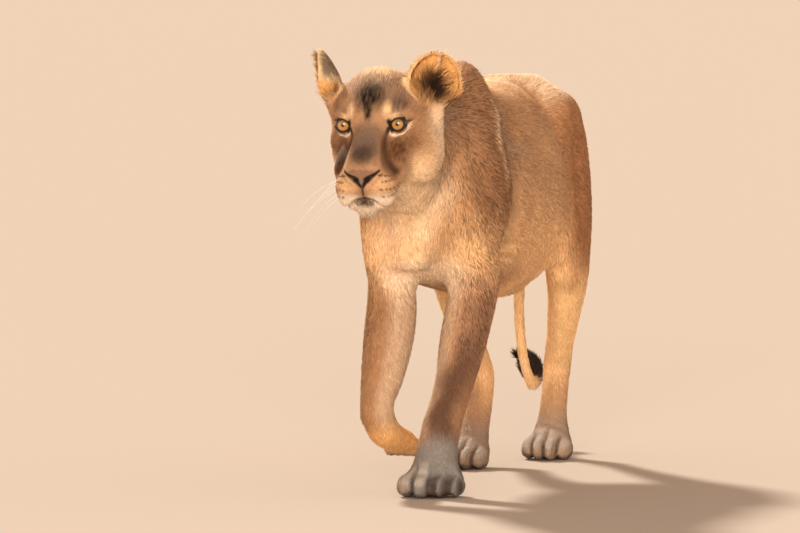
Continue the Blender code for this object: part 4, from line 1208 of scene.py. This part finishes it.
def coat_sizes(plan):
    """Each lock's length in metres, how steeply it stands, its width in metres; how thickly they grow."""
    x, y, z = plan.T
    own = to_head(plan)
    folded = own * (1, 1, 1)
    folded[:, 0] = np.abs(own[:, 0])
    length, lift, width, thick = (np.full(len(plan), size) for size in (0.02, 0.13, 0.00175, 1.0))

    def alter(share, new_length, new_lift, new_width, new_thick):
        share = np.clip(share, 0, 1)
        for values, new in ((length, new_length), (lift, new_lift), (width, new_width), (thick, new_thick)):
            values += (new - values) * share

    alter(ramp(z, 0.5, 0.4) * ramp(y, 0.25, 0.4) * ramp(y, 0.8, 0.7), 0.028, 0.2, 0.0018, 1.0)
    alter(bump(plan, (0, -0.22, 0.62), (0.15, 0.14, 0.17), 2), 0.017, 0.09, 0.0015, 1.2)
    alter(ramp(z, 0.46, 0.34), 0.013, 0.12, 0.0014, 1.15)
    alter(ramp(z, 0.14, 0.08), 0.0085, 0.14, 0.0012, 1.7)
    alter(ramp(y, 1.02, 1.06) * ramp(np.abs(x - 0.05), 0.045, 0.06), 0.015, 0.14, 0.0015, 1.5)
    alter(ramp(y, 1.165, 1.2) * ramp(z, 0.4, 0.3), 0.036, 0.22, 0.0022, 4.0)
    head = ramp(y, -0.3, -0.38) * ramp(z, 0.6, 0.66)
    alter(head, 0.0105, 0.15, 0.00115, 2.6)
    alter(head * ramp(own[:, 1], 0.0, -0.06), 0.0056, 0.13, 0.0008, 4.2)
    for centre, reach, *sizes in HEAD_HAIR:
        alter(head * bump(folded, centre, reach, 2), *sizes)
    for side in EARS:
        ear_own, far = in_ear(plan, side)
        share = ramp(far, 1.2, 1.08) * ramp(ear_own[:, 2], -0.8, -0.5)
        alter(share, 0.0085, 0.14, 0.001, 2.6)
        alter(share * ramp(ear_own[:, 1], -0.28, -0.38), 0.0085, 0.16, 0.001, 4.0)
        inner = share * ramp(far, 0.97, 0.94)
        alter(inner, 0.017, 0.3, 0.0011, 2.4)
        alter(inner * bump(ear_own[:, [0, 2]], (-0.25, -0.25), (0.5, 0.6), 2), 0.028, 0.55, 0.0012, 3.0)
    for sign in (1, -1):
        across, up, front, far, *_ = eye_space(own, sign)
        measure = lid_measure(across, up)
        close = head * (front > 0) * (far < 3.0)
        alter(close * ramp(measure, 3.2, 1.8), 0.004, 0.1, 0.0007, 5.0)
        thick *= 1 - close * (far < 1.8) * ramp(measure, 1.34, 1.26)
    bare = np.maximum(*(bump(folded, *spot) for spot in BARE_SPOTS))
    for path, gap in BARE_LINES:
        away, _ = line_gap(folded, path, 0.02)
        bare = np.maximum(bare, ramp(away, gap * 1.5, gap))
    thick *= 1 - head * np.clip(bare * 1.2, 0, 1)
    thick *= ramp(z, 0.004, 0.01)
    return length, lift, width, np.maximum(thick, 0)


# ---------------------------------------------------------------- materials
def new_material(name, **sockets):
    """A material, its node tree, and its shader with these sockets set (an underscore is a space)."""
    made = bpy.data.materials.new(name)
    made.use_nodes = True
    shader = made.node_tree.nodes["Principled BSDF"]
    for key, value in sockets.items():
        shader.inputs[key.replace("_", " ")].default_value = value
    return made, made.node_tree, shader


def node(tree, kind, inputs=(), **settings):
    """The outputs of a new node. Each input is given a number, or is linked to another node's output."""
    made = tree.nodes.new("ShaderNode" + kind)
    for key, value in settings.items():
        setattr(made, key, value)
    for key, value in dict(inputs).items():
        if isinstance(value, bpy.types.NodeSocket):
            tree.links.new(value, made.inputs[key])
        else:
            made.inputs[key].default_value = value
    return made.outputs


def tint(tree, shader, shade):
    """Paints the shader with the piece's own colours, times a shade."""
    colour = node(tree, "Attribute", attribute_name="coat_colour")["Color"]
    product = node(tree, "VectorMath", {0: colour, "Scale": shade}, operation="SCALE")
    tree.links.new(product[0], shader.inputs["Base Color"])


STREAKS, CLUMPS = 420, 60  # how fine the coat's pattern is, per metre
STRETCH = 0.86  # how far the pattern is drawn out along the hair
SKIN_RELIEF = 0.0012  # metres
DRY, WET = 0.78, 0.36  # the skin's roughness


def coat_material(name, variation, relief=0):
    """Fur: the coat's own colours, streaked along the lie of the hair, with a fine relief on the skin."""
    made, tree, shader = new_material(name, Specular_IOR_Level=0.25 if relief else 0.1,
                                      Sheen_Weight=0.03 if relief else 0.02, Sheen_Roughness=0.4,
                                      Sheen_Tint=(1.0, 0.86, 0.68, 1), Roughness=0.8)
    place = node(tree, "NewGeometry")["Position"]
    lie = node(tree, "Attribute", attribute_name="lie")["Vector"]
    along = node(tree, "VectorMath", {0: place, 1: lie}, operation="DOT_PRODUCT")["Value"]
    shrink = node(tree, "Math", {0: along, 1: STRETCH}, operation="MULTIPLY")[0]
    back = node(tree, "VectorMath", {0: lie, "Scale": shrink}, operation="SCALE")[0]
    squeezed = node(tree, "VectorMath", {0: place, 1: back}, operation="SUBTRACT")[0]
    streaks = node(tree, "TexNoise", {"Vector": squeezed, "Scale": STREAKS, "Detail": 3})[0]
    clumps = node(tree, "TexNoise", {"Vector": squeezed, "Scale": CLUMPS, "Detail": 2})[0]
    both = node(tree, "Mix", {0: 0.35, 2: streaks, 3: clumps}, data_type="FLOAT")[0]
    span = {"From Min": 0.3, "From Max": 0.7, "To Min": 1 - variation, "To Max": 1 + variation}
    tint(tree, shader, node(tree, "MapRange", {"Value": both, **span}, clamp=False)[0])
    if relief:
        wet = node(tree, "Attribute", attribute_name="wet")["Fac"]
        rough = node(tree, "MapRange", {"Value": wet, "To Min": DRY, "To Max": WET})[0]
        tree.links.new(rough, shader.inputs["Roughness"])
        raised = node(tree, "Bump", {"Distance": relief, "Strength": 0.8, "Height": both})[0]
        tree.links.new(raised, shader.inputs["Normal"])
    return made


def eye_material():
    """A wet amber eye, painted by the eyeball's own colours."""
    made, tree, shader = new_material("eye", Roughness=0.25, Specular_IOR_Level=0.2, Coat_Weight=0.45,
                                      Coat_Roughness=0.1)
    fibres = node(tree, "TexNoise", {"Scale": 900})[0]
    tint(tree, shader, node(tree, "MapRange", {"Value": fibres, "To Min": 0.78, "To Max": 1.22})[0])
    return made


def whisker_material():
    """Pale, slightly glossy bristles."""
    made, tree, shader = new_material("whisker", Roughness=0.4)
    shade = node(tree, "ValToRGB", {0: node(tree, "TexNoise", {"Scale": 150})[0]})[0]
    for stop, colour in zip(shade.node.color_ramp.elements, ((0.72, 0.62, 0.5, 1), (0.92, 0.86, 0.76, 1))):
        stop.color = colour
    tree.links.new(shade, shader.inputs["Base Color"])
    return made


def give(item, name, kind, values):
    """Gives the item's vertices an attribute."""
    made = item.data.attributes.new(name, kind, "POINT")
    key = {"FLOAT_COLOR": "color", "FLOAT_VECTOR": "vector", "FLOAT": "value"}[kind]
    values = np.asarray(values, np.float32)
    if kind == "FLOAT_COLOR":
        values = np.column_stack([values, np.ones(len(values), np.float32)])
    made.data.foreach_set(key, np.ascontiguousarray(values).ravel())


# ---------------------------------------------------------------- the coat
def unwrap(item):
    """Each triangle's three corners on an unwrap of the skin."""
    bpy.ops.object.select_all(action="DESELECT")
    item.select_set(True)
    bpy.context.view_layer.objects.active = item
    item.data.uv_layers.new(name="unwrap")
    bpy.ops.object.mode_set(mode="EDIT")
    bpy.ops.mesh.select_all(action="SELECT")
    bpy.ops.uv.smart_project(angle_limit=math.radians(66), island_margin=0.002)
    bpy.ops.object.mode_set(mode="OBJECT")
    layer = item.data.uv_layers["unwrap"]
    flat = read(layer.data, "uv", 2)
    item.data.calc_loop_triangles()
    places = flat[read(item.data.loop_triangles, "loops", 3, np.int32)]
    item.data.uv_layers.remove(layer)
    return places


def near_order(points):
    """An order in which points that are close to each other follow each other."""
    cells = ((points - points.min(0)) / 0.004).astype(np.int64)
    code = np.zeros(len(points), np.int64)
    for bit in range(10):
        for axis in range(3):
            code |= ((cells[:, axis] >> bit) & 1) << (3 * bit + axis)
    return np.argsort(code, kind="stable")


def scatter(places, corners, weights, count, rng):
    """Roots spread evenly over the triangles by weight: each one's triangle, and shares of its corners."""
    order = near_order(places[corners].mean(1))
    ends = np.cumsum(weights[order])
    at = (np.arange(count) + rng.random(count) * 0.9) * ends[-1] / count
    faces = order[np.minimum(np.searchsorted(ends, at), len(order) - 1)]
    first, second = rng.random(count), rng.random(count)
    over = first + second > 1
    first[over], second[over] = 1 - first[over], 1 - second[over]
    return faces, np.column_stack([1 - first - second, first, second])


SWING, SWING_SPREAD = 0.7, 0.1  # radians, how far neighbours turn aside together, and each on its own
BEND_SPREAD = 0.1  # how far a lock bends aside, as a share of its length
LENGTHS, LIFTS, WIDTHS = (0.75, 1.2), (0.6, 1.5), (0.8, 1.25)  # the spread of these, as shares
SHADES = (0.7, 1.35)  # the darkest and the palest lock, as shares of the coat's colour
FLECKED = 0.38  # the share of locks that may be brown
LEAST_GROWN = 0.15  # no lock grows where the coat is thinner than this
ROOT_DEPTH = 0.0012  # metres, from the skin down to a lock's root
ROOT_RISE = 0.0002  # metres, added to the height of its rings
RINGS = {1: ((0.4, 1.0),), 2: ((0.28, 1.0), (0.64, 0.72))}  # how far along each ring is, and how full


def locks(roots, up, way, length, lift, width, rings, rng):
    """The vertices of solid, tapered locks, one in a row: a pointed root, rings of three, and a tip."""
    side = np.cross(up, way)
    bend = rng.normal(0, BEND_SPREAD, len(roots))
    points = [roots - up * ROOT_DEPTH]
    for share, full in RINGS[rings]:
        rise = lift * length * share * (1.35 - 0.35 * share)
        centre = roots + way * (length * share)[:, None] + up * (rise + ROOT_RISE)[:, None]
        centre = centre + side * (bend * length * share * share)[:, None]
        half = (width * full / 2)[:, None]
        low = up * half * 0.25
        points += [centre - side * half - low, centre + side * half - low, centre + up * half * 0.75]
    tip = roots + way * length[:, None] + up * (lift * length)[:, None] + side * (bend * length)[:, None]
    return np.stack(points + [tip], axis=1)


def lock_faces(rings):
    """The triangles of one lock."""
    faces = [(0, 2, 1), (0, 3, 2), (0, 1, 3)]
    for ring in range(1, rings):
        near, far = 3 * ring - 2, 3 * ring + 1
        for i in range(3):
            j = (i + 1) % 3
            faces += [(near + i, near + j, far + j), (near + i, far + j, far + i)]
    last = 3 * rings - 2
    tip = last + 3
    return np.array(faces + [(last, last + 1, tip), (last + 1, last + 2, tip), (last + 2, last, tip)])


def coat_piece(name, points, rings, colours, ups, ways, roots_uv, material):
    """One piece of the coat, from locks of the same build."""
    count, each = points.shape[:2]
    faces = (lock_faces(rings)[None] + (np.arange(count) * each)[:, None, None]).reshape(-1, 3)
    mesh = bpy.data.meshes.new(name)
    mesh.from_pydata(points.reshape(-1, 3), [], faces)
    made = linked(name, mesh)
    along = np.repeat(np.linspace(0, 1, rings + 2), [1, *[3] * rings, 1])
    shade = 0.92 + 0.15 * along  # paler towards the tip
    give(made, "coat_colour", "FLOAT_COLOR", (colours[:, None, :] * shade[None, :, None]).reshape(-1, 3))
    give(made, "lie", "FLOAT_VECTOR", np.repeat(ways, each, axis=0))
    patch = (columns(along, [0, *(-0.5, 0.5, 0) * rings, 0]) - (0.5, 0)) * PATCH
    where = np.clip((roots_uv[:, None, :] + patch[None]).reshape(-1, 2), 0.001, 0.999)
    layer = mesh.uv_layers.new(name="OFBake")
    layer.data.foreach_set("uv", np.ascontiguousarray(where[faces.ravel()], dtype=np.float32).ravel())
    dress(made, material)
    sharp = read(mesh.vertex_normals, "vector", 3, np.float32)
    mesh.normals_split_custom_set_from_vertices(unit_rows(0.22 * sharp + 0.78 * np.repeat(ups, each, axis=0)))
    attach(made, "root")


def grow_coat(skin, colours, material):
    """The coat: short locks of one ring all over, and long locks of two rings where the hair is long."""
    rng = np.random.default_rng(COAT_SEED)
    places, normals, corners, flat = points_of(skin), normals_of(skin), corners_of(skin), unwrap(skin)
    first, second, third = places[corners].transpose(1, 0, 2)
    area = np.linalg.norm(np.cross(second - first, third - first), axis=1) / 2
    length, _, _, thick = coat_sizes(to_plan(places[corners].mean(1)))
    long = ramp(length, 0.019, 0.024)
    plans = (("coat", SHORT_LOCKS, SHORT_PIECES, 1, area * thick * (1 - 0.6 * long)),
             ("long_coat", LONG_LOCKS, LONG_PIECES, 2, area * thick * long))
    for name, count, pieces, rings, weights in plans:
        faces, shares = scatter(places, corners, weights, count, rng)

        def at_roots(values):
            return (values * shares[:, :, None]).sum(1)

        near = corners[faces]
        roots, tints = at_roots(places[near]), at_roots(colours[near])
        up = unit_rows(at_roots(normals[near]))
        plan = to_plan(roots)
        size, lift, width, thick_here = coat_sizes(plan)
        way = lie_of(plan, up)
        swing = (noise(plan, 0.035) - 0.5) * SWING + rng.normal(0, SWING_SPREAD, count)
        way = way * np.cos(swing)[:, None] + np.cross(up, way) * np.sin(swing)[:, None]
        flecks = speckle(plan) * (rng.random(count) < FLECKED) * (0.35 + 0.65 * rng.random(count))
        crown = bump(to_head(plan), (0, 0.07, 0.095), (0.095, 0.055, 0.035), 2)
        uneven = 0.11 + 0.22 * crown + 0.04 * (plan[:, 1] < FACE_START)
        shade = (1 + rng.normal(0, 1, count) * uneven
                 + 0.22 * (noise(plan, 0.009) - 0.5) + 0.2 * (noise(plan, 0.03) - 0.5))
        tints = tints * (np.clip(shade, *SHADES) * (1.04 - 0.75 * flecks))[:, None]
        size, lift, width = (values * rng.uniform(*spread, count)
                             for values, spread in ((size, LENGTHS), (lift, LIFTS), (width, WIDTHS)))
        points = locks(roots, up, way, size, lift, width, rings, rng)
        unwrapped = at_roots(flat[faces])
        each = [values[thick_here > LEAST_GROWN] for values in (points, tints, up, way, unwrapped)]
        for piece in range(pieces):
            own, *others = (values[piece::pieces] for values in each)
            coat_piece(f"{name}_{piece + 1}", own, rings, *others, material)


# ---------------------------------------------------------------- eyes and whiskers
GAZE = (math.sin(math.radians(6.5)), -math.cos(math.radians(6.5)), -0.02)
EYE_BANDS = [  # degrees from the middle of the pupil, and colour
    (0, (0.004, 0.003, 0.003)), (7.5, (0.004, 0.003, 0.003)), (9.5, (0.16, 0.08, 0.02)),
    (16, (0.46, 0.235, 0.06)), (31, (0.48, 0.26, 0.078)), (37, (0.26, 0.125, 0.035)),
    (40, (0.05, 0.025, 0.012)), (44, (0.02, 0.012, 0.009)),
    (54, (0.03, 0.018, 0.013)), (62, (0.12, 0.07, 0.05)), (180, (0.3, 0.2, 0.15))]


def make_eye(side, sign, material):
    """An eyeball with its iris, pupil and raised cornea, looking the way she looks."""
    form = bmesh.new()
    bmesh.ops.create_uvsphere(form, u_segments=64, v_segments=72, radius=1)
    mesh = bpy.data.meshes.new("eyeball_" + side)
    form.to_mesh(mesh)
    form.free()
    made = linked("eyeball_" + side, mesh)
    unit = points_of(made)
    angle = np.degrees(np.arccos(np.clip(unit[:, 2], -1, 1)))
    bulge = 1 + 0.045 * ramp(angle, 46, 20)
    about = np.arctan2(unit[:, 1], unit[:, 0])
    bands = np.array([(at, *colour) for at, colour in EYE_BANDS])
    colours = np.column_stack([np.interp(angle, bands[:, 0], bands[:, i]) for i in (1, 2, 3)])
    fibres = ramp(angle, 7, 10) * ramp(angle, 40, 36)
    streak = 0.5 + 0.5 * np.sin(about * 23 + 3 * np.sin(about * 7))
    shaded = 1 - 0.55 * ramp(unit[:, 1], 0.1, 0.42)  # under the upper lid
    colours = colours * (1 - 0.3 * fibres * streak)[:, None] * shaded[:, None]
    facing = np.array(Vector(GAZE).to_track_quat("Z", "Y").to_matrix())
    centre = from_head((sign * EYE_PLACE[0], *EYE_PLACE[1:])) * WITHERS_HEIGHT + SHIFT
    set_points(made, (unit * (bulge * EYE_RADIUS)[:, None]) @ facing.T + centre)
    give(made, "coat_colour", "FLOAT_COLOR", colours)
    dress(made, material)
    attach(made, "root")
    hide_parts("eye_" + side)


WHISKER_RADIUS = 0.0003  # metres, at the root
WHISKER_LENGTHS = (0.075, 0.125)  # metres
DROOP = 0.42  # how far a whisker's tip hangs, as a share of its length
THIRDS = (0, 2.094, 4.189)  # radians, round a bristle


def bristles(name, paths, material):
    """Tapered hairs along these paths, as one mesh."""
    form = bmesh.new()
    for path in paths:
        line = smooth_rows(path, 4)
        rings = []
        for place, run, share in zip(line[:-1], np.gradient(line, axis=0), np.linspace(0, 1, len(line))):
            run = Vector(run).normalized()
            side = run.orthogonal().normalized()
            other = run.cross(side)
            size = WHISKER_RADIUS * (1 - 0.75 * share)
            rings.append([form.verts.new(Vector(place) + (side * math.cos(t) + other * math.sin(t)) * size)
                          for t in THIRDS])
        tip = form.verts.new(line[-1])
        form.faces.new(rings[0])
        bridge(form, rings)
        for i in range(3):
            form.faces.new((rings[-1][i - 1], rings[-1][i], tip))
    made = new_object(name, form)
    dress(made, material)
    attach(made, "root")


def whiskers(skin, material):
    """Whiskers from some of the spots on the muzzle."""
    rng = np.random.default_rng(WHISKER_SEED)
    tree = BVHTree.FromPolygons(points_of(skin).tolist(), corners_of(skin).tolist())
    paths = []
    for number, spot in enumerate(spots()):
        if abs(spot[0]) < 0.046 or number % 3 == 2 or number % 2:
            continue
        start, normal, _, _ = tree.find_nearest(from_head(spot) * WITHERS_HEIGHT + SHIFT)
        size = rng.uniform(*WHISKER_LENGTHS)
        out = np.array((np.sign(spot[0]) * 0.85, -0.3 + 0.5 * rng.random(), -0.25 - 0.35 * rng.random()))
        out = (HEAD_MATRIX[:3, :3] @ out) / np.linalg.norm(out)
        start = np.array(start) - np.array(normal) * 0.001
        droop = np.array((0, 0.15, -1.0))
        paths.append([start + out * size * t + droop * size * DROOP * t * t for t in (0, 0.35, 0.7, 1)])
    bristles("whiskers", paths, material)


# ---------------------------------------------------------------- the stage
LAMPS = [  # name, place, strength, colour and width in degrees
    ("sun", (-2.6, 3.2, 3.6), 6.0, (1.0, 0.92, 0.8), 6),
    ("fill", (0.9, -4.2, 1.00), 4.2, (1.0, 0.84, 0.67), 24),
]
FLOOR = (0.41, 0.357, 0.314, 1)
SKY, SKY_STRENGTH = (0.87, 0.655, 0.505, 1), 0.95


def make_stage():
    """A plain pale floor, soft warm light all round, and a high soft sun from behind her right shoulder."""
    form = bmesh.new()
    bmesh.ops.create_grid(form, x_segments=1, y_segments=1, size=400)
    floor = new_object("floor", form)
    floor.location.z = -0.0005
    pale, _, _ = new_material("floor", Base_Color=FLOOR, Roughness=1.0, Specular_IOR_Level=0.0)
    floor.data.materials.append(pale)
    world = bpy.data.worlds.new("studio")
    world.use_nodes = True
    world.node_tree.nodes["Background"].inputs["Color"].default_value = SKY
    world.node_tree.nodes["Background"].inputs["Strength"].default_value = SKY_STRENGTH
    bpy.context.scene.world = world
    for name, place, energy, colour, wide in LAMPS:
        light = bpy.data.lights.new(name, "SUN")
        light.energy = energy
        light.color = colour
        light.angle = math.radians(wide)
        aim(linked(name, light), Vector(place), Vector((0, 0, 0.5)) - Vector(place))


def aim(item, place, view):
    """Puts the item at a place and points it along a view."""
    item.location = place
    item.rotation_mode = "QUATERNION"
    item.rotation_quaternion = view.to_track_quat("-Z", "Y")


AZIMUTH, ELEVATION = math.radians(15), math.radians(3.45)  # the camera's, round the animal
DISTANCE = 18  # in withers' heights, from the camera to its target
AIM = (0.066, 0.51)  # the target: how far to her right of the middle, and its height
LENS = 356.4  # millimetres, on a sensor 36 wide


def make_camera():
    """The camera: low, from her front left, through a long lens."""
    view = Vector((-math.sin(AZIMUTH) * math.cos(ELEVATION), math.cos(AZIMUTH) * math.cos(ELEVATION),
                   -math.sin(ELEVATION)))
    target = Vector((-AIM[0] * math.cos(AZIMUTH), -AIM[0] * math.sin(AZIMUTH), AIM[1]))
    camera = linked("camera", bpy.data.cameras.new("camera"))
    aim(camera, (target - view * DISTANCE) * WITHERS_HEIGHT + Vector(SHIFT), view)
    camera.data.lens = LENS
    camera.data.clip_end = 200
    bpy.context.scene.camera = camera


def main():
    make_camera()
    make_stage()
    skin = make_skin()
    plan = to_plan(points_of(skin))
    normals = normals_of(skin)
    colours = coat_colours(plan, normals)
    speckled = 1 - 0.3 * speckle(plan) * ramp(noise(plan, 0.006), 0.45, 0.75)
    give(skin, "coat_colour", "FLOAT_COLOR", colours * (TINTED * speckled)[:, None])
    give(skin, "lie", "FLOAT_VECTOR", lie_of(plan, normals))
    give(skin, "wet", "FLOAT", ramp(colours.max(1), 0.06, 0.015) * (plan[:, 1] < FACE_START))
    dress(skin, coat_material("skin", 0.22, SKIN_RELIEF))
    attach(skin, "root")
    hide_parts(*[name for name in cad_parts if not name.startswith("eye")])
    eye = eye_material()
    make_eye("left", 1, eye)
    make_eye("right", -1, eye)
    whiskers(skin, whisker_material())
    grow_coat(skin, colours, coat_material("coat", 0.15))


main()
bpy.context.scene.view_settings.view_transform = "Standard"
